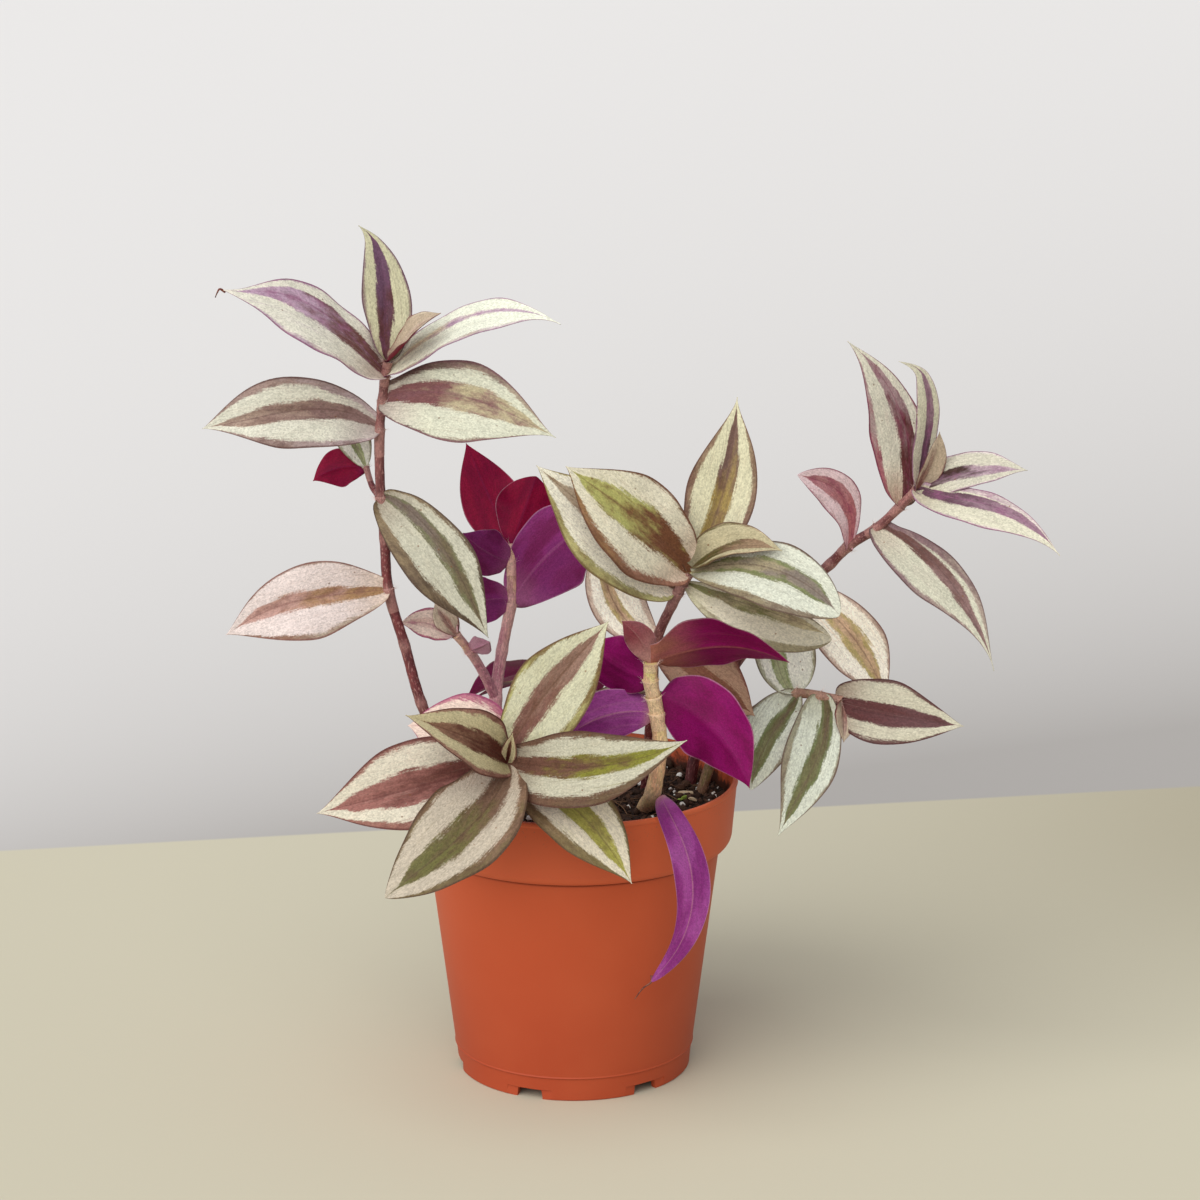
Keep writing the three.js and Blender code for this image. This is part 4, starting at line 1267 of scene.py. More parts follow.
@dataclass
class LeafyStem:
    """One leafy stem with its sheaths and hairs."""

    shoot: Shoot
    order: int
    workshop: Workshop
    form: BladeForm = field(default_factory=BladeForm)
    stem_depth: float = 13.0
    rings_per_span: int = 14
    node_swell: float = 0.1
    node_reach: float = 1.7
    node_tint: float = 0.7
    rib_height: float = 0.02
    rib_rate: float = 1.3
    sheath_length: float = 6.0
    sheath_steps: tuple[float, ...] = (-1.0, -0.9, -0.65, -0.35, -0.1, 0.08, 0.1, 0.02, -0.4)
    sheath_bulge: tuple[float, ...] = (0.98, 1.07, 1.08, 1.1, 1.16, 1.24, 1.18, 1.06, 1.0)
    sheath_tint: Pair = (0.75, 1.0)
    search_steps: int = 400
    leaf_reach: float = 2.5
    leaves_apart: float = 3.0
    sheath_hairs: int = 34
    sheath_hair: Pair = (0.9, 2.4)
    stem_hairs_per_mm: float = 4.0
    stem_hair: Pair = (0.3, 0.7)
    hair_thick: Pair = (0.02, 0.04)
    hair_sink: float = 0.93
    hair_lean: Pair = (0.1, 1.3)
    hair_scatter: float = 0.25
    hair_droop: float = 0.12
    sheath_mouth: float = 1.2
    dry_overlap: float = 2.0
    dry_rise: float = 0.1
    dry_radii: Pair = (0.42, 0.14)
    dry_rings: int = 12

    def full_stem(self) -> Array:
        """Give the stem's nodes, from its end down in the soil.

        Returns:
            The points, in millimetres.
        """
        nodes = np.array(self.shoot.stem, dtype=float)
        buried = nodes[0] + self.stem_depth * unit(nodes[0] - nodes[1])
        return np.concatenate([[buried], nodes])

    def root_of(self, leaf: Leaf) -> Array:
        """Give the place a leaf grows from."""
        place = leaf.root if leaf.root is not None else self.shoot.stem[leaf.node]
        return np.array(place, dtype=float)

    def leaf_pile(self) -> Pile:
        """Gather the leaves.

        Returns:
            The pile of leaves.
        """
        pile = Pile()
        draw = Draw(31 + self.order)
        for number, leaf in enumerate(self.shoot.leaves):
            upper = pile.slot(self.workshop.material(leaf.tone.value))
            under = pile.slot(self.workshop.material(leaf.back.value))
            phase = 2 * math.pi * draw.next()
            pattern = number + 20 * self.order
            self.form.grow(pile, leaf, self.root_of(leaf), phase, pattern, (upper, under))
        return pile

    def add_stem(self, pile: Pile, nodes: Array, radius: Pair, slot: int, number: int) -> StemPath:
        """Add a bare stem that swells at its nodes.

        Args:
            pile: The pile that it goes into.
            nodes: Its nodes.
            radius: Its radius at the bottom and at the top.
            slot: Its material slot.
            number: Sets its pattern apart.

        Returns:
            Its path.
        """
        path = StemPath(nodes)
        places = np.linspace(0, 1, path.spans * self.rings_per_span + 1)
        points = np.array([path.point(at) for at in places])
        away = np.linalg.norm(points[:, None, :] - nodes[None, 2:-1, :], axis=2)
        near = np.exp(-((np.min(away, axis=1, initial=FAR_AWAY) / self.node_reach) ** 2))
        ribs = 1 + self.rib_height * np.sin(points[:, 2] * self.rib_rate + number)
        radii = np.interp(places, [0, 1], radius) * (1 + self.node_swell * near) * ribs
        tube(pile, path, places, radii, slot, self.node_tint * near, number=number)
        return path

    def add_sheath(self, pile: Pile, path: StemPath, top: float, radius: float, slot: int,
                   number: int) -> None:
        """Add the thin sleeve that a leaf's base makes round the stem below it.

        Args:
            pile: The pile that it goes into.
            path: The stem's path.
            top: Where the sleeve ends, as a share of the path.
            radius: The stem's radius there.
            slot: Its material slot.
            number: Sets its pattern apart.
        """
        span = self.sheath_length / path.length()
        places = np.clip(top + np.array(self.sheath_steps) * span, 0.0, 1.0)
        radii = radius * np.array(self.sheath_bulge)
        tube(pile, path, places, radii, slot, np.linspace(*self.sheath_tint, len(places)), number=number)

    def leaf_places(self, path: StemPath, radius: Pair) -> list[Pair]:
        """Find where leaves meet a stem.

        Args:
            path: The stem's path.
            radius: Its radius at the bottom and at the top.

        Returns:
            For each, its share of the path and the stem's radius there.
        """
        shares = np.linspace(0, 1, self.search_steps)
        points = np.array([path.point(at) for at in shares])
        found: list[float] = []
        for leaf in self.shoot.leaves:
            away = np.linalg.norm(points - self.root_of(leaf), axis=1)
            at = float(shares[away.argmin()])
            alone = all(abs(at - other) * path.length() > self.leaves_apart for other in found)
            if away.min() < self.leaf_reach and alone:
                found.append(at)
        return [(at, float(np.interp(at, [0, 1], radius))) for at in found]

    def add_hair(self, pile: Pile, root: Array, tip: Array, droop: Array,
                 thick: float) -> None:
        """Add one tapered hair.

        Args:
            pile: The pile that it goes into.
            root: Where it starts.
            tip: Where it would end if it were straight.
            droop: How far its tip is bent away.
            thick: Its radius at the root.
        """
        steps = (0.0, 0.5, 1.0)
        along = unit(tip - root)
        side = unit(np.cross(along, [0.31, 0.52, 0.79]))
        other = np.cross(along, side)
        angle = 2 * np.pi * np.arange(3) / 3
        rim = np.cos(angle)[:, None] * side + np.sin(angle)[:, None] * other
        rings = [root + t * (tip - root) + t * t * droop + thick * (1.0 - 0.85 * t) * rim for t in steps]
        points = np.concatenate([*rings, [root, tip + droop]])
        faces = np.concatenate([ring_faces(3, 3), cap_faces(0, 3, 9, False), cap_faces(6, 3, 10, True)])
        pile.add(points, faces, 0, np.array([*np.repeat(steps, 3), 0.0, 1.0]))

    def add_withered_tip(self, pile: Pile, leaf: Leaf, number: int) -> None:
        """Add the dried thread that hangs from a leaf's tip.

        Args:
            pile: The pile that it goes into.
            leaf: The leaf.
            number: Sets its pattern apart.
        """
        start = np.array(leaf.tip) + np.array(leaf.hook)
        reach = np.array(leaf.dry_tip)
        inward = self.dry_overlap * unit(self.root_of(leaf) - start)
        rise = np.array([0.0, 0.0, self.dry_rise * np.linalg.norm(reach)])
        path = StemPath(np.array([start + inward, start, start + 0.5 * reach + rise, start + reach]))
        rings = self.dry_rings
        slot = pile.slot(self.workshop.material(Bark.DRIED.value))
        tube(pile, path, np.linspace(0, 1, rings), np.linspace(*self.dry_radii, rings), slot,
             np.zeros(rings), sides=8, number=number)

    def hair_pile(self, paths: list[tuple[StemPath, Pair]]) -> Pile:
        """Gather the hairs on the stems and round the sheaths' mouths.

        Args:
            paths: Each stem's path and radii.

        Returns:
            The pile of hairs.
        """
        rng = np.random.default_rng(700 + self.order)
        pile = Pile([self.workshop.material(FineHair())])
        fine, strong = self.hair_thick
        for path, radius in paths:
            length = path.length()
            start = self.stem_depth / length if path is paths[0][0] else 0.0
            for _ in range(int(length * self.stem_hairs_per_mm)):
                at = rng.uniform(start, 1.0)
                self.place_hair(pile, path, at, np.interp(at, [0, 1], radius), rng, self.stem_hair, fine)
            for at, wide in self.leaf_places(path, radius):
                for _ in range(self.sheath_hairs):
                    self.place_hair(pile, path, at, self.sheath_mouth * wide, rng, self.sheath_hair, strong)
        return pile

    def place_hair(self, pile: Pile, path: StemPath, at: float, wide: float, rng: Rng,
                   lengths: Pair, thick: float) -> None:
        """Stand one hair on a stem at a random turn round it.

        Args:
            pile: The pile that it goes into.
            path: The stem's path.
            at: Where on the path it stands.
            wide: How far from the path's middle.
            rng: The random draw.
            lengths: Its least and greatest length.
            thick: Its radius at the root.
        """
        along = path.along(min(at, 0.998))
        side = unit(np.cross(along, [0.2, 0.9, 0.4]))
        other = np.cross(along, side)
        turn = rng.uniform(0, 2 * np.pi)
        out = math.cos(turn) * side + math.sin(turn) * other
        root = path.point(at) + self.hair_sink * wide * out
        way = unit(out + rng.uniform(*self.hair_lean) * along + rng.normal(0, self.hair_scatter, 3))
        length = rng.uniform(*lengths)
        droop = rng.normal(0, self.hair_droop * length, 3)
        self.add_hair(pile, root, root + length * way, droop, thick)

    def build(self) -> None:
        """Make the stem, its leaves and its hairs."""
        shoot = self.shoot
        pile = Pile([self.workshop.material(shoot.bark.value)])
        stems = [(self.full_stem(), shoot.radius)]
        stems += [(np.array(twig.stem, dtype=float), twig.radius) for twig in shoot.twigs]
        paths = []
        for number, (nodes, radius) in enumerate(stems):
            path = self.add_stem(pile, nodes, radius, 0, number + 5 * self.order)
            paths.append((path, radius))
            for at, wide in self.leaf_places(path, radius):
                self.add_sheath(pile, path, at, wide, 0, number)
        for number, leaf in enumerate(shoot.leaves):
            if leaf.dry_tip:
                self.add_withered_tip(pile, leaf, number)
        settle(pile.build(f"{shoot.name}_stalk"), shoot.slot, shoot.name)
        settle(self.leaf_pile().build(f"{shoot.name}_leaves", 70.0), shoot.slot, shoot.name)
        settle(self.hair_pile(paths).build(f"{shoot.name}_down"), shoot.slot, shoot.name)


TALL_LEFT = Shoot(
    "stem_tall_left", "silver_leaf", (1.8, 1.4),
    ((-35, -8, 89), (-40, -8, 103), (-48, -7, 122), (-53, -5, 140), (-58, -4, 158), (-59, -3, 174),
     (-60, -3, 187), (-60, -4, 209), (-59, -4, 218), (-58, -5, 226), (-57, -6, 231)),
    (
        Leaf((-107, -26, 149), 23.5, (0, -1, 0.3), 4, rise=(0.03, 0.05), sway=-0.07, belly=0.5,
             tone=Tone.PINK, lean=(0.03, -0.2), centre=0.24, margin=(0.96, 0.84)),
        Leaf((-26, -26, 148), 22, (-0.15, -1, 0.5), 6, rise=0.08, sway=0.06, tone=Tone.SAGE,
             lean=(0.42, 0.18), centre=0.26, margin=(0.6, 0.88)),
        Leaf((-75, 16, 216), 13, (0, -1, 0.3), root=(-65, 6, 195), belly=0.55, tone=Tone.MINT,
             lean=(0, 0.2), centre=0.26, margin=(0.8, 0.84)),
        Leaf((-82, 9, 190), 12, (0, 1, -0.3), root=(-65, 6, 195), sway=0.15, belly=0.48, back=Back.CRIMSON),
        Leaf((-113, -22, 213), 22.5, (0.1, -1, 0.25), 7, rise=(0.02, 0.05), sway=-0.12, belly=0.48,
             tone=Tone.DUSKY, lean=(-0.3, 0.2), centre=0.27, margin=(0.74, 0.8)),
        Leaf((-5, -26, 211), 25.5, (0, -1, 0.45), 8, rise=0.1, sway=0.08, sharp=1.4, tone=Tone.BROWN_OLIVE,
             lean=(0.22, 0.1), centre=0.34, margin=(0.93, 0.78)),
        Leaf((-105, -28, 256), 23.5, (0.35, -0.8, 0.85), 9, rise=(0.05, 0.1), sway=-0.08, sharp=1.35,
             tone=Tone.VIOLET, hook=(-1.0, 0, 1.0), lean=(-0.25, -0.5), centre=0.36, margin=(0.95, 0.85),
             dry_tip=(-1.4, 0, -2.6)),
        Leaf((-4, -30, 248), 16, (-0.35, -0.8, 1.1), 9, rise=(0.05, 0.12), sway=0.14, sharp=1.4,
             tone=Tone.LILAC, hook=(0.6, 0, -1.4), lean=(0.33, 0.3), centre=0.13, margin=(0.82, 0.95)),
        Leaf((-64, 4, 272), 15, (0.15, -1, 0.2), 10, rise=(-0.05, 0.02), sway=-0.09, tone=Tone.INK,
             hook=(-2.0, -0.6, -0.3), lean=(0.28, -0.18), centre=0.34, margin=(0.88, 0.88)),
        Leaf((-40, -18, 248), 12, (-0.6, -0.5, 1.1), 10, rise=(0, 0.1), belly=0.5, fold=0.35, tone=Tone.BUD,
             back=Back.CRIMSON, lean=0.1, centre=0.16, margin=(0.88, 0.85)),
    ),
    Bark.RUSSET,
    (Twig((1.1, 0.9), ((-60, -3, 187), (-63, 2, 190), (-65, 6, 195))),),
)
BACK_LEFT = Shoot(
    "stem_back_left", "magenta_leaf", (2.4, 1.4),
    ((-24, 4, 88), (-24, 8, 104), (-25, 12, 118), (-23, 16, 133), (-20, 20, 149), (-20, 24, 160),
     (-20, 27, 165)),
    (
        Leaf((-35, 44, 195), 19, (0, 1, -0.3), 6, rise=0.05, sway=-0.01, back=Back.CRIMSON),
        Leaf((-12, 30, 187), 19, (0, 1, -0.3), 6, belly=0.55, sharp=0.75, back=Back.CRIMSON),
        Leaf((7, 6, 177), 27, (0.2, 1, -0.4), root=(-20.5, 19.5, 147), rise=0.1, sway=-0.13, belly=0.52,
             sharp=0.85, back=Back.GRAPE),
        Leaf((-35, 10, 173), 15, (0, 1, -0.3), 5, sway=-0.07, back=Back.GRAPE),
        Leaf((-35, 6, 151), 15, (0, 1, -0.3), 4, sway=0.03, belly=0.5, back=Back.GRAPE),
        Leaf((-55, 4, 145), 11, (0, -0.8, 0.6), root=(-37, 1, 142), sway=-0.13, tone=Tone.ROSY_RIM),
        Leaf((-26, -8, 142), 7, (0, 1, 0), root=(-33, 4, 136), belly=0.5, back=Back.ROSE),
        Leaf((-44, 6, 151), 8, (0, -1, 0.5), root=(-37, 1, 142), belly=0.5, tone=Tone.BUD),
    ),
    Bark.MAUVE,
    (Twig((1.7, 1.3), ((-25, 12, 118), (-29, 8, 128), (-33, 4, 136), (-37, 1, 142))),),
)
FRONT_LEFT = Shoot(
    "stem_front_left", "silver_leaf", (2.2, 1.8),
    ((-18, -27, 88), (-20, -36, 97), (-20, -44, 107), (-20, -50, 115)),
    (
        Leaf((11, -52, 160), 24, (-0.1, -1, 0.35), 3, rise=(-0.02, 0.02), sway=(0.03, 0.02), belly=0.48,
             sharp=1.15, tone=Tone.OLIVE, lean=(0.2, 0.05), centre=0.3, margin=(0.8, 0.87)),
        Leaf((-49, -78, 138), 19.5, (0.2, -1, 0.7), 3, rise=0.1, sway=0.02, belly=0.42, sharp=1.25,
             fold=0.3, tone=Tone.CHERRY, lean=(-0.12, -0.05), centre=0.33, margin=(0.85, 0.8)),
        Leaf((-76, -76, 107), 29, (0, -1, 0.55), 3, rise=(0.06, 0.08), sway=0.02, tone=Tone.MAROON,
             lean=(-0.02, 0), centre=0.36, margin=(0.86, 0.8)),
        Leaf((-55, -92, 86), 28.5, (-0.2, -1, 0.7), 3, rise=(0.12, 0.1), sway=0.14, belly=0.5, sharp=0.75,
             tone=Tone.FOREST, lean=(0.15, -0.07), centre=0.32, margin=(0.88, 0.74)),
        Leaf((34, -84, 132), 23.5, (0.1, -1, 0.5), 3, rise=0.06, sway=-0.12, belly=0.42,
             tone=Tone.UMBER_GREEN, lean=(0.15, 0), centre=0.3, margin=(0.72, 0.82)),
        Leaf((18, -70, 83), 22, (0.2, -1, 0.5), root=(-19, -47, 110), rise=(0.15, 0.12), sway=0.08,
             belly=0.5, tone=Tone.GRASS, lean=(0.15, 0.07), centre=0.3, margin=(0.64, 0.86)),
        Leaf((-18, -56, 126), 5, (0, -1, 0.2), 3, belly=0.42, fold=0.5, tone=Tone.CHERRY),
        Leaf((-51, -30, 121), 28, (0.1, -1, 0.6), root=(-20, -44, 107), rise=0.1, sway=-0.17, belly=0.5,
             tone=Tone.ROSY_RIM),
    ),
)
FRONT_RIGHT = Shoot(
    "stem_front_right", "magenta_leaf", (2.7, 2.0),
    ((23, -16, 91), (25, -24, 98), (27, -28, 114), (26, -30, 125), (24, -32, 136), (24, -33, 142)),
    (
        Leaf((66, -44, 145), 24, (0, 0.75, 0.65), 5, rise=(0.18, 0.2), belly=0.42, back=Back.RUBY),
        Leaf((54, -50, 107), 25.5, (0.3, 1, 0.1), root=(27, -31, 131), rise=0.06, sway=-0.13, belly=0.42,
             back=Back.MAGENTA),
        Leaf((4, -24, 147), 19, (0, 1, 0.3), 4, sway=-0.1, belly=0.5, back=Back.MAGENTA),
        Leaf((15, -40, 157), 9, (-0.3, 1, 0.2), 5, sway=0.1, belly=0.5, back=Back.COPPER),
        Leaf((-1, -30, 118), 16, (0, 1, -0.3), 3, sway=0.15, belly=0.5, back=Back.VIOLET),
        Leaf((26, -64, 51), 10.5, (0.1, 1, 0), root=(28.5, -22, 96), rise=(-0.68, -0.4), sway=(0.02, -0.44),
             belly=0.6, sharp=0.55, tone=Tone.BLUSH, back=Back.VIOLET, hook=(-2.0, 0.4, -1.6),
             dry_tip=(-5.0, 0, -5.6)),
    ),
    Bark.STRAW,
)
CENTRE = Shoot(
    "stem_centre", "silver_leaf", (1.9, 1.5),
    ((23, 6, 86), (24, 0, 106), (25, -4, 122), (26, -6, 141), (31, -11, 155), (36, -15, 166)),
    (
        Leaf((51, -2, 219), 21.5, (0, -1, 0.3), 5, rise=(-0.02, 0.02), sway=(-0.09, -0.06), belly=0.47,
             sharp=1.45, tone=Tone.LIME, lean=(0, -0.07), centre=0.28, margin=(0.82, 0.8)),
        Leaf((-2, -30, 203), 29, (0.15, -1, 0.4), 5, rise=(0.04, 0.06), tone=Tone.BRONZE,
             lean=(-0.17, -0.07), centre=0.36, margin=(0.96, 0.76)),
        Leaf((-11, -24, 202), 26.5, (0.15, -1, 0.3), root=(32, -11, 160), rise=0.02, sway=0.02, belly=0.42,
             tone=Tone.HAZEL, lean=-0.1, centre=0.25, margin=(0.85, 0.74)),
        Leaf((64, -32, 177), 13, (0.1, -1, 0.9), root=(37, -16, 168), rise=0.1, sway=(0.2, 0.16), belly=0.4,
             fold=0.35, tone=Tone.MOSS, lean=(-0.45, -0.2), centre=0.4, margin=(0.85, 0.85)),
        Leaf((81, -42, 159), 21.5, (0, -1, 0.6), root=(37, -16, 166), rise=(0.1, 0.12), sway=0.13,
             belly=0.56, sharp=0.62, tone=Tone.STONE, lean=0.2, centre=0.3, margin=(0.74, 0.96)),
        Leaf((80, -24, 147), 16.5, (0, -1, 0.5), root=(35, -13, 162), rise=(0.08, 0.1), sway=-0.1,
             belly=0.56, sharp=0.65, tone=Tone.REED, lean=(0.45, 0.5), centre=0.3, margin=(0.62, 0.85)),
        Leaf((10, 6, 173), 18, (0, -1, 0.2), 3, sway=0.18, belly=0.5, tone=Tone.BLUSH, lean=0.15,
             centre=0.25, margin=(0.75, 0.8)),
        Leaf((57, -12, 119), 20, (-0.1, -1, 0.7), 3, rise=0.1, belly=0.5, tone=Tone.COPPER),
    ),
    Bark.RUSSET,
)
RIGHT_TALL = Shoot(
    "stem_right_tall", "silver_leaf", (2.0, 1.4),
    ((37, 16, 85), (42, 20, 109), (55, 22, 131), (73, 20, 152), (82, 18, 161), (88, 15, 168), (96, 12, 174),
     (103, 8, 182), (108, 5, 188)),
    (
        Leaf((87, 8, 234), 18, (0.35, -1, 0.1), 7, rise=(-0.05, 0.02), sway=-0.15, belly=0.4,
             tone=Tone.PLUM, hook=(-1.4, 0, 0.8), lean=(-0.37, -0.33), centre=0.32, margin=(0.95, 0.76)),
        Leaf((105, -4, 232), 8.5, (0.4, -1, 0.1), 8, rise=(-0.1, 0.1), sway=(-0.09, -0.15), belly=0.5,
             sharp=0.9, tone=Tone.ORCHID, hook=(-4.4, -1.3, -1.2), lean=(-0.22, -0.2), centre=0.3,
             margin=(0.93, 0.9)),
        Leaf((114, -2, 208), 7.4, (0.3, -1, 0.1), 8, sway=-0.1, fold=0.4, tone=Tone.BUD, lean=(0.4, 0.5),
             centre=0.45, margin=(0.9, 0.9)),
        Leaf((141, -8, 197), 14, (-0.2, -1, 0.9), 8, rise=(0.06, 0.08), sway=0.08, belly=0.42,
             tone=Tone.HEATHER, lean=(0, -0.15), centre=0.32, margin=(0.88, 0.88)),
        Leaf((149, -30, 175), 13.5, (0, -1, 0.9), 8, rise=(0.1, 0.14), sway=(-0.09, 0.1), belly=0.42,
             sharp=1.3, tone=Tone.ORCHID, lean=(0.25, 0.48), centre=0.36, margin=(0.9, 0.7)),
        Leaf((130, -28, 138), 17, (0.1, -1, 0.5), 6, rise=(0.1, 0.08), sway=(0.01, 0.15), belly=0.4,
             sharp=1.8, tone=Tone.UMBER, lean=(0.55, 0), centre=0.27, margin=(0.8, 0.68)),
        Leaf((70, -2, 194.3), 12.5, (0.15, -1, 0.25), root=(87, 14, 167), sway=-0.27, belly=0.58, sharp=0.8,
             fold=0.15, tone=Tone.CRIMPED, lean=(-0.35, 0.05), centre=0.42, margin=(0.9, 0.88)),
        Leaf((100, 8, 119), 20.5, (0, -1, 0.4), 3, rise=0.06, sway=0.07, belly=0.5, tone=Tone.BLUSH,
             lean=0.1, centre=0.3, margin=(0.85, 0.87)),
    ),
    Bark.RUSSET,
)
RIGHT_LOW = Shoot(
    "stem_right_low", "silver_leaf", (1.8, 1.4),
    ((41, 6, 89), (46, 6, 103), (58, 5, 116), (71, 0, 123), (78, -3, 123), (85, -5, 122)),
    (
        Leaf((122, -20, 118), 20.5, (0, -1, 0.35), root=(83, -4, 122), rise=(0.05, 0.06), sway=-0.03,
             belly=0.38, sharp=1.1, tone=Tone.CLARET, lean=(-0.13, 0), centre=0.36, margin=(0.88, 0.88)),
        Leaf((85, -14, 111), 8, (0.5, -1, 0.2), 5, fold=0.35, tone=Tone.BUD),
        Leaf((64, -26, 84), 17.5, (-0.1, -1, 0.3), 4, rise=(0.1, 0.08), sway=0.09, belly=0.42,
             tone=Tone.FERN, lean=(0.42, -0.1), centre=0.33, margin=(0.75, 0.93)),
        Leaf((56, -16, 96), 18, (-0.2, -1, 0.4), 3, rise=(0.1, 0.08), sway=-0.1, belly=0.5, sharp=0.75,
             tone=Tone.FERN, lean=(0.3, 0), centre=0.3, margin=(0.88, 0.85)),
        Leaf((66, 12, 149), 20, (0, -1, 0.2), 3, sway=0.07, tone=Tone.MINT, lean=(0.35, 0.2), centre=0.28,
             margin=(0.85, 0.85)),
    ),
)
REAR = Shoot(
    "stem_rear", "silver_leaf", (2.0, 1.6),
    ((-4, 24, 88), (-3, 34, 99), (0, 44, 108), (3, 54, 113), (4, 62, 114)),
    (
        Leaf((-38, 88, 96), 23, (0, 0.5, 1), 4, rise=(0.1, 0.16), tone=Tone.DUSKY, lean=(0.1, -0.1),
             centre=0.3, margin=(0.82, 0.86)),
        Leaf((48, 92, 104), 24, (0, 0.5, 1), 4, rise=(0.1, 0.16), tone=Tone.MAROON, lean=(-0.1, 0.1),
             centre=0.33, margin=(0.86, 0.8)),
        Leaf((8, 110, 92), 23, (0, 0.3, 1), 4, rise=(0.14, 0.2), tone=Tone.SAGE, lean=(0.05, 0.1),
             centre=0.26, margin=(0.8, 0.84)),
        Leaf((-34, 62, 104), 18, (0, 0.2, 1), 3, rise=(0.08, 0.1), tone=Tone.OLIVE, lean=(-0.15, 0),
             centre=0.3, margin=(0.84, 0.8)),
        Leaf((46, 58, 102), 20, (0, 0.2, 1), 2, rise=0.1, tone=Tone.FOREST, lean=(0.1, 0), centre=0.32,
             margin=(0.78, 0.84)),
        Leaf((-42, 66, 84), 20, (-0.2, 0.6, 1), 1, rise=(0.24, 0.2), tone=Tone.BROWN_OLIVE, lean=(0, 0.15),
             centre=0.3, margin=(0.86, 0.82)),
        Leaf((8, 74, 122), 6, (0, 1, 0.5), 4, fold=0.5, tone=Tone.CHERRY),
    ),
)
SHOOTS = (TALL_LEFT, BACK_LEFT, FRONT_LEFT, FRONT_RIGHT, CENTRE, RIGHT_TALL, RIGHT_LOW, REAR)


# ---- pot


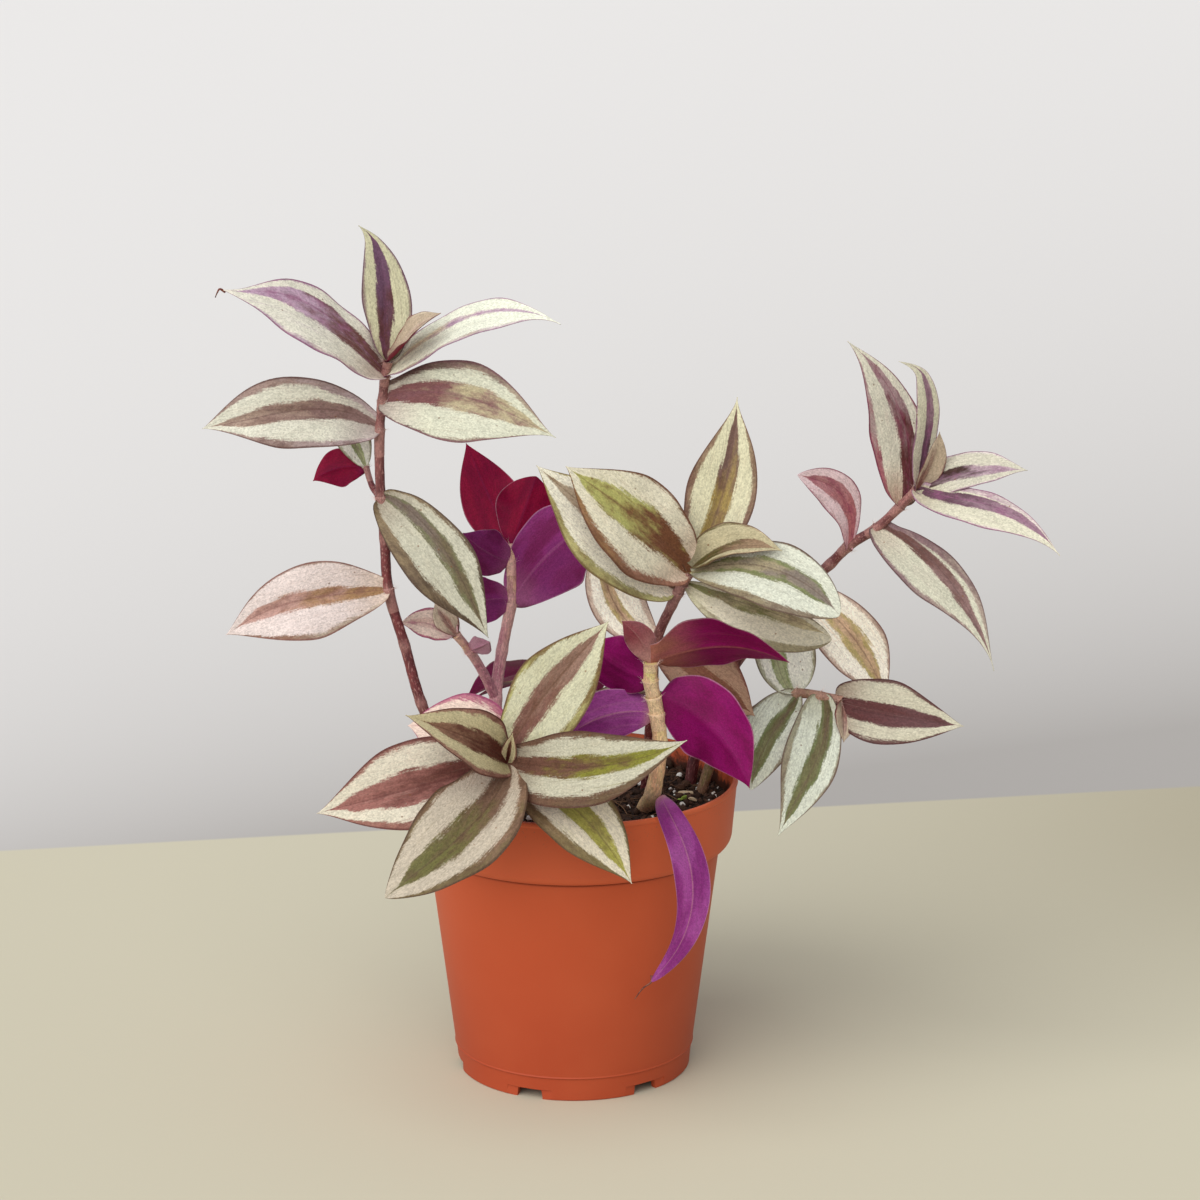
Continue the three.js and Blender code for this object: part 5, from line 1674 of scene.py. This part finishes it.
@dataclass
class NurseryPot:
    """The moulded pot, in millimetres."""

    workshop: Workshop
    rim_radius: float = 52.5
    height: float = 96.0
    foot_radius: float = 37.4
    shoulder_radius: float = 46.8
    shoulder_z: float = 74.8
    collar_radius: float = 50.5
    collar_round: float = 3.6
    lip_height: float = 1.3
    lip_step: float = 0.35
    wall: float = 1.2
    line_z: float = 7.5
    line_height: float = 0.8
    foot_ring: float = 2.2
    channel_top: float = 4.0
    channel_inner: float = 25.0
    notch_count: int = 6
    first_notch: float = math.radians(-112)
    notch_height: float = 2.9
    notch_step_height: float = 3.4
    notch_width: float = 9.0
    notch_step_width: float = 17.0
    notch_taper: float = 0.12
    notch_inset: float = 6.0
    step_inset: float = 0.7
    drain_radius: float = 3.2
    drain_circle: float = 30.0
    drain_sides: int = 40
    segments: int = 240
    crisp_degrees: float = 35.0

    def body(self, z: float) -> float:
        """Give the outside radius of the tapered body at a height."""
        return self.foot_radius + (self.shoulder_radius - self.foot_radius) * z / self.shoulder_z

    def inside(self, z: float) -> float:
        """Give the inside radius at a height.

        Args:
            z: The height above the ground.

        Returns:
            The radius of the wall's inner face.
        """
        shelf = self.shoulder_z + self.wall
        if z <= shelf:
            return self.body(min(z, self.shoulder_z)) - self.wall
        collar_foot = shelf + self.collar_round
        low = self.collar_radius - self.wall
        if z < collar_foot:
            return float(np.interp(z, [shelf, collar_foot], [self.shoulder_radius - self.wall, low]))
        high = self.rim_radius - self.lip_step - self.wall
        return float(np.interp(z, [collar_foot, self.height], [low, high]))

    def collar_curve(self, steps: int = 9) -> list[Pair]:
        """Round the collar in to the shoulder.

        Args:
            steps: How many points the curve has.

        Returns:
            Each point's radius and height, from the body outwards.
        """
        start = np.array([self.shoulder_radius, self.shoulder_z])
        corner = np.array([self.collar_radius, self.shoulder_z + 0.2])
        end = np.array([self.collar_radius + 0.2, self.shoulder_z + self.collar_round])
        t = np.linspace(0, 1, steps)[:, None]
        return [tuple(p) for p in (1 - t) ** 2 * start + 2 * (1 - t) * t * corner + t ** 2 * end]

    def profile(self) -> Array:
        """Give the half section, with its edges eased by a few tenths of a millimetre.

        Returns:
            Each point's radius and height, from the middle of the underside to the middle of the floor.
        """
        foot, rim, top, wall = self.foot_radius, self.rim_radius, self.height, self.wall
        channel, roof, outer = self.channel_inner, self.channel_top, foot - self.foot_ring
        line_z, line_top = self.line_z, self.line_z + self.line_height
        at_line, over_line = self.body(line_z), self.body(line_top)
        shoulder, shoulder_z = self.shoulder_radius, self.shoulder_z
        shelf, lip_z, floor = shoulder_z + wall, top - self.lip_height, roof + wall
        under = [
            (0.0, 0.0), (channel - 1, 0.0), (channel - 0.7, 0.5), (channel, roof), (outer - 0.4, roof),
            (outer - 0.15, 0.3), (outer, 0.0), (foot - 0.35, 0.0), (foot, 0.35),
        ]
        line = [
            (at_line - 0.25, line_z), (at_line + 0.1, line_z + 0.15), (over_line + 0.16, line_z + 0.4),
            (over_line + 0.08, line_top - 0.12), (over_line, line_top),
        ]
        collar_crease = [(self.body(shoulder_z - 0.5), shoulder_z - 0.5), (shoulder - 0.3, shoulder_z - 0.15)]
        lip = [
            (rim - self.lip_step, lip_z - 0.35), (rim - 0.1, lip_z - 0.12), (rim, lip_z + 0.1),
            (rim, top - 0.4), (rim - 0.15, top - 0.12), (rim - 0.4, top), (self.inside(top) + 0.35, top),
            (self.inside(top) + 0.1, top - 0.12), (self.inside(top - 0.4), top - 0.4),
        ]
        within = [
            (self.collar_radius - wall, shelf + self.collar_round), (shoulder - wall, shelf),
            (self.inside(shoulder_z), shoulder_z), (self.inside(floor), floor), (channel - wall, floor),
            (channel - 1 - wall, wall), (0.0, wall),
        ]
        return np.array([*under, *line, *collar_crease, *self.collar_curve(), *lip, *within])

    def shell(self) -> bpy.types.Object:
        """Turn the section into the pot, with a collar that is very slightly out of round.

        Returns:
            The pot, before its foot is cut.
        """
        profile = self.profile()
        angle = 2 * np.pi * np.arange(self.segments) / self.segments
        wobble = 1 + 0.0006 * np.sin(3 * angle + 0.7) + 0.0005 * np.sin(7 * angle)
        ring = profile[1:-1]
        rise = np.clip((ring[:, 1] - self.shoulder_z) / (self.height - self.shoulder_z), 0, 1)
        radius = ring[:, :1] * (1 + rise[:, None] * (wobble[None, :] - 1.0011))
        rings = rows(radius * np.cos(angle), radius * np.sin(angle), ring[:, 1:])
        count, sides = len(ring), self.segments
        points = np.concatenate([rings.reshape(-1, 3), [[0, 0, profile[0, 1]], [0, 0, profile[-1, 1]]]])
        faces = np.concatenate([
            ring_faces(count, sides),
            cap_faces(0, sides, count * sides, False),
            cap_faces((count - 1) * sides, sides, count * sides + 1, True),
        ])
        pile = Pile([self.workshop.material(MouldedPlastic())])
        pile.add(points, faces, 0)
        return pile.build("nursery_pot_shell", self.crisp_degrees)

    def box_at(self, direction: float, width: float, height: float, inner: float) -> bmesh.types.BMesh:
        """Make a cutting box that stands on the ground at the foot.

        Args:
            direction: The way it lies from the middle, in radians from +X.
            width: Its width.
            height: Its height above the ground.
            inner: How far from the middle it starts.

        Returns:
            The box as a mesh that is open for editing.
        """
        depth = self.foot_radius + 3 - inner
        cutter = bmesh.new()
        bmesh.ops.create_cube(cutter, size=1.0)
        for vertex in cutter.verts:
            x, y, z = vertex.co
            narrow = 1.0 - self.notch_taper * (z + 0.5)
            outward = inner + depth * (x + 0.5)
            vertex.co = Vector((outward, width * y * narrow, (height + 1) * (z + 0.5) - 1)) * MM
        bmesh.ops.rotate(cutter, verts=cutter.verts, cent=(0, 0, 0), matrix=turn_about_z(direction))
        return cutter

    def cutters(self) -> list[bmesh.types.BMesh]:
        """Make the shapes that the foot's notches and drain holes are cut with.

        Returns:
            For each notch a box, a shallow step and the drain hole beside it.
        """
        made = []
        for i in range(self.notch_count):
            direction = self.first_notch + i * 2 * math.pi / self.notch_count
            inner = self.foot_radius - self.notch_inset
            made.append(self.box_at(direction, self.notch_width, self.notch_height, inner))
            bite = self.foot_radius - self.step_inset
            made.append(self.box_at(direction, self.notch_step_width, self.notch_step_height, bite))
            drain = bmesh.new()
            wide = self.drain_radius * MM
            bmesh.ops.create_cone(drain, cap_ends=True, segments=self.drain_sides, radius1=wide,
                                  radius2=wide, depth=4 * self.wall * MM)
            centre = (self.drain_circle * MM, 0, self.channel_top * MM)
            bmesh.ops.translate(drain, verts=drain.verts, vec=centre)
            half_turn = direction + math.pi / self.notch_count
            bmesh.ops.rotate(drain, verts=drain.verts, cent=(0, 0, 0), matrix=turn_about_z(half_turn))
            made.append(drain)
        return made

    def build(self) -> None:
        """Make the pot and cut its foot."""
        shell = self.shell()
        for cutter in self.cutters():
            mesh = bpy.data.meshes.new("cutter")
            cutter.to_mesh(mesh)
            cutter.free()
            tool = show("cutter", mesh)
            cut = shell.modifiers.new("cut", "BOOLEAN")
            cut.operation = "DIFFERENCE"
            cut.solver = "EXACT"
            cut.object = tool
            apply_modifiers(shell)
            bpy.data.objects.remove(tool)
            bpy.data.meshes.remove(mesh)
        shell.data.set_sharp_from_angle(angle=math.radians(self.crisp_degrees))
        settle(shell, "pot", "nursery_pot")


def turn_about_z(angle: float) -> Matrix:
    """Give the turn about the upright axis."""
    return Matrix.Rotation(angle, 3, "Z")


def apply_modifiers(piece: bpy.types.Object) -> None:
    """Turn what a piece's modifiers do into its own mesh.

    Args:
        piece: The piece, which has no modifiers afterwards.
    """
    graph = bpy.context.evaluated_depsgraph_get()
    mesh = bpy.data.meshes.new_from_object(piece.evaluated_get(graph))
    piece.modifiers.clear()
    old = piece.data
    piece.data = mesh
    bpy.data.meshes.remove(old)


# ---- soil


@dataclass
class PottingSoil:
    """Peat that fills the pot, with crumbs, perlite and fibres lying on it, in millimetres."""

    workshop: Workshop
    pot: NurseryPot
    edge_z: float = 87.6
    dome: float = 2.2
    bump: float = 0.7
    gap: float = 0.3
    top_gaps: float = 1.5
    side_gaps: float = 2.5
    bed_rings: int = 70
    bed_sides: int = 200
    roughness: float = 0.16
    lumps: tuple[Pair, ...] = ((0.25, 0.9), (0.2, 1.7), (0.12, 3.1))
    crumb_count: int = 3600
    crumb_size: Point = (-0.45, 0.45, 1.9)
    crumb_inset: float = 0.9
    perlite_count: int = 270
    perlite_size: Point = (-0.55, 0.4, 1.5)
    perlite_inset: float = 2.0
    fibre_count: int = 190
    fibre_rings: int = 8
    fibre_inset: float = 7.0
    fibre_reach: Pair = (1.5, 5.0)
    fibre_radii: Pair = (0.09, 0.2)
    fibre_lift: Pair = (0.3, 1.3)
    chips: tuple[Point, ...] = ((36, 2, 2.6), (38, -6, 1.8), (-6, 38, 2.4), (-30, 20, 2.0))
    moss: tuple[Pair, ...] = ((34, -5), (35.2, -4.2), (-12, 30))
    seed: int = 4

    def pile(self, bit: Bit) -> Pile:
        """Start a pile of one sort of bit."""
        return Pile([self.workshop.material(bit.value)])

    def height(self, x: Array, y: Array) -> Array:
        """Give the height of the soil's top.

        Args:
            x: How far right each place is.
            y: How far back.

        Returns:
            The height there above the ground.
        """
        edge = self.pot.inside(self.edge_z)
        dome = self.dome * np.clip(1 - (x * x + y * y) / (edge * edge), 0, 1)
        waves = np.sin(0.19 * x + 0.31 * y + 1.1) + np.sin(0.27 * x - 0.16 * y + 2.3)
        return self.edge_z + dome + self.bump * 0.5 * waves * np.minimum(1, dome + 0.4)

    def bed(self) -> None:
        """Make the body of the soil with a lumpy top."""
        rings, sides = self.bed_rings, self.bed_sides
        reach = self.pot.inside(self.edge_z) - self.top_gaps * self.gap
        radius = reach * np.linspace(1, 0.01, rings)[:, None]
        angle = (2 * np.pi * np.arange(sides) / sides)[None, :]
        x, y = radius * np.cos(angle), radius * np.sin(angle)
        lumps = sum(
            size * np.sin(x * rate + 1.7 * k) * np.sin(y * rate * 1.1 + 2.9 * k)
            for k, (size, rate) in enumerate(self.lumps)
        )
        top = rows(x, y, self.height(x, y) + lumps - 0.2)
        shelf = self.pot.shoulder_z + self.pot.wall
        levels = [self.pot.channel_top + self.pot.wall + self.gap, shelf - self.gap,
                  shelf + self.pot.collar_round + self.gap]
        sides_below = []
        for z in levels:
            wide = self.pot.inside(z) - self.side_gaps * self.gap
            sides_below.append(rows(wide * np.cos(angle[0]), wide * np.sin(angle[0]), z))
        grid = np.concatenate([np.array(sides_below), top])
        points = np.concatenate([grid.reshape(-1, 3), [[0, 0, levels[0]], [0, 0, top[-1, :, 2].mean()]]])
        total = len(grid) * sides
        faces = np.concatenate([
            ring_faces(len(grid), sides),
            cap_faces(0, sides, total, False),
            cap_faces(total - sides, sides, total + 1, True),
        ])
        pile = self.pile(Bit.BED)
        pile.add(points, faces, 0, 0.2)
        settle(pile.build("peat_bed"), "soil", "potting_soil")

    def scatter(self, rng: Rng, count: int, inset: float) -> Array:
        """Draw places on the soil's top.

        Args:
            rng: The random draw.
            count: How many.
            inset: How far they keep from the wall.

        Returns:
            Their points.
        """
        reach = self.pot.inside(self.edge_z) - inset
        away = reach * np.sqrt(rng.uniform(0, 1, count))
        turn = rng.uniform(0, 2 * np.pi, count)
        x, y = away * np.cos(turn), away * np.sin(turn)
        return rows(x, y, self.height(x, y))

    def add_lump(self, pile: Pile, rng: Rng, centre: Array, size: Array,
                 shade: float, detail: int) -> None:
        """Add one rough lump.

        Args:
            pile: The pile that it goes into.
            rng: The random draw.
            centre: Its middle.
            size: Its half sizes.
            shade: How light it is, 0 to 1.
            detail: How finely it is faceted, 0 or 1.
        """
        base, faces = LUMPS[detail]
        rough = 1 + rng.normal(0, self.roughness, (len(base), 1))
        spin = random_turn(rng)
        points = (base * rough * size) @ spin.T + centre
        pile.add(points, faces, 0, shade)

    def crumbs(self) -> None:
        """Lay the peat crumbs."""
        rng = np.random.default_rng(self.seed)
        pile = self.pile(Bit.CRUMB)
        middling, spread, largest = self.crumb_size
        for place in self.scatter(rng, self.crumb_count, self.crumb_inset):
            size = min(rng.lognormal(middling, spread), largest)
            shape = size * rng.uniform(0.55, 1.2, 3)
            self.add_lump(pile, rng, place + [0, 0, 0.25 * size], shape, rng.uniform(0, 1) ** 2, 0)
        settle(pile.build("peat_crumbs", 180.0), "soil")

    def perlite(self) -> None:
        """Lay the white grains."""
        rng = np.random.default_rng(self.seed + 1)
        pile = self.pile(Bit.PERLITE)
        middling, spread, largest = self.perlite_size
        for place in self.scatter(rng, self.perlite_count, self.perlite_inset):
            size = min(rng.lognormal(middling, spread), largest)
            self.add_lump(pile, rng, place + [0, 0, 0.55 * size], size * rng.uniform(0.7, 1.1, 3),
                          rng.uniform(0.4, 1), 1)
        settle(pile.build("perlite_grains", 180.0), "soil")

    def fibres(self) -> None:
        """Lay thin root and peat fibres."""
        rng = np.random.default_rng(self.seed + 2)
        pile = self.pile(Bit.FIBRE)
        for place in self.scatter(rng, self.fibre_count, self.fibre_inset):
            turn = rng.uniform(0, 2 * np.pi)
            reach = rng.uniform(*self.fibre_reach)
            ahead = np.array([math.cos(turn), math.sin(turn), 0.0])
            sideways = np.array([-ahead[1], ahead[0], 0.0]) * rng.normal(0, 0.8)
            nodes = np.array([place - reach * ahead, place + sideways, place + reach * ahead])
            nodes[:, 2] = self.height(nodes[:, 0], nodes[:, 1]) + rng.uniform(*self.fibre_lift, 3)
            rings = self.fibre_rings
            radii = np.full(rings, rng.uniform(*self.fibre_radii))
            shade = np.full(rings, rng.uniform())
            tube(pile, StemPath(nodes), np.linspace(0, 1, rings), radii, 0, shade, 5)
        settle(pile.build("peat_fibres"), "soil")

    def bits(self) -> None:
        """Lay a few pale chips and green bits of moss."""
        rng = np.random.default_rng(self.seed + 3)
        chips = [(x, y, (0.7, length, 0.5)) for x, y, length in self.chips]
        moss = [(x, y, (1.3, 0.8, 0.35)) for x, y in self.moss]
        sorts = ((Bit.CHIP, "wood_chips", 50.0, chips), (Bit.MOSS, "moss_bits", 60.0, moss))
        for bit, name, crisp, bits in sorts:
            pile = self.pile(bit)
            for x, y, size in bits:
                centre = np.array([x, y, float(self.height(np.array(x), np.array(y))) + 1.0])
                self.add_lump(pile, rng, centre, np.array(size), rng.uniform(0.3, 1), 1)
            settle(pile.build(name, crisp), "soil")

    def build(self) -> None:
        """Make the soil and all that lies on it."""
        self.bed()
        self.crumbs()
        self.perlite()
        self.fibres()
        self.bits()


def lump_shape(subdivisions: int) -> tuple[Array, Array]:
    """Make a small faceted ball.

    Args:
        subdivisions: How finely it is faceted.

    Returns:
        Its points, 1 from the middle, and its faces, with the third corner repeated.
    """
    ball = bmesh.new()
    bmesh.ops.create_icosphere(ball, subdivisions=subdivisions, radius=1.0)
    points = np.array([tuple(vertex.co) for vertex in ball.verts])
    faces = np.array([[corner.index for corner in face.verts] for face in ball.faces])
    ball.free()
    return points, np.concatenate([faces, faces[:, 2:]], axis=1)


LUMPS = (lump_shape(1), lump_shape(2))


def random_turn(rng: Rng) -> Array:
    """Draw a random turn in space."""
    turned, _ = np.linalg.qr(rng.normal(size=(3, 3)))
    return turned if np.linalg.det(turned) > 0 else -turned


# ---- studio


@dataclass(frozen=True)
class SoftLight:
    """One wide, even light that shines from a direction."""

    name: str
    source: Point
    spread_degrees: float
    strength: float
    colour: Point

    def build(self) -> None:
        """Hang the light and turn it to the plant."""
        lamp = bpy.data.lights.new(self.name, "SUN")
        lamp.angle = math.radians(self.spread_degrees)
        lamp.energy = self.strength
        lamp.color = self.colour
        holder = show(self.name, lamp)
        holder.location = self.source
        holder.rotation_euler = (-holder.location).to_track_quat("-Z", "Y").to_euler()


@dataclass
class Studio:
    """The camera, the floor and soft light."""

    workshop: Workshop
    camera_place: Point = (0.00841, -1.1149, 0.4324)
    camera_pitch: float = math.radians(14.04)
    focal_px: float = 3647.2
    frame_px: float = 1200.0
    sensor_mm: float = 36.0
    nearest: float = 0.01
    floor_half: float = 12.0
    key: SoftLight = SoftLight("key", (-0.62, -1.0, 1.05), 74.0, 3.0, (1.0, 0.99, 0.965))
    sky: Paint = (0.93, 0.95, 1.0, 1.0)
    sky_strength: float = 0.48

    def camera(self) -> None:
        """Stand the camera where the picture was taken from."""
        lens = bpy.data.cameras.new("camera")
        lens.sensor_width = self.sensor_mm
        lens.lens = self.focal_px * self.sensor_mm / self.frame_px
        lens.clip_start = self.nearest
        holder = show("camera", lens)
        holder.location = self.camera_place
        holder.rotation_euler = (math.pi / 2 - self.camera_pitch, 0, 0)
        bpy.context.scene.camera = holder

    def floor(self) -> None:
        """Lay the plain floor."""
        mesh = bpy.data.meshes.new("floor")
        half = self.floor_half
        corners = [(-half, -half, 0), (half, -half, 0), (half, half, 0), (-half, half, 0)]
        mesh.from_pydata(corners, [], [(0, 1, 2, 3)])
        mesh.materials.append(self.workshop.material(PaleFloor()))
        floor = show("floor", mesh)
        floor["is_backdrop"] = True

    def light(self) -> None:
        """Set the soft key from the left and an even sky."""
        self.key.build()
        world = bpy.data.worlds.new("studio")
        world.use_nodes = True
        background = world.node_tree.nodes["Background"]
        background.inputs["Color"].default_value = self.sky
        background.inputs["Strength"].default_value = self.sky_strength
        bpy.context.scene.world = world
        bpy.context.scene.view_settings.view_transform = "Standard"

    def build(self) -> None:
        """Set up the studio."""
        self.camera()
        self.floor()
        self.light()


def plain(box: object) -> list[list[float]]:
    """Turn a box into plain lists of numbers."""
    return [[float(number) for number in corner] for corner in box]


def main() -> list[list[float]]:
    """Build everything in order.

    Returns:
        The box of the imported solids, as it was before anything was dressed.
    """
    logging.basicConfig(level=logging.INFO, format="%(message)s")
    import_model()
    solid_box = plain(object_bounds())
    workshop = Workshop()
    Studio(workshop).build()
    pot = NurseryPot(workshop)
    pot.build()
    PottingSoil(workshop, pot).build()
    for order, shoot in enumerate(SHOOTS):
        LeafyStem(shoot, order, workshop).build()
    return solid_box


if __name__ == "__main__":
    first_box = main()
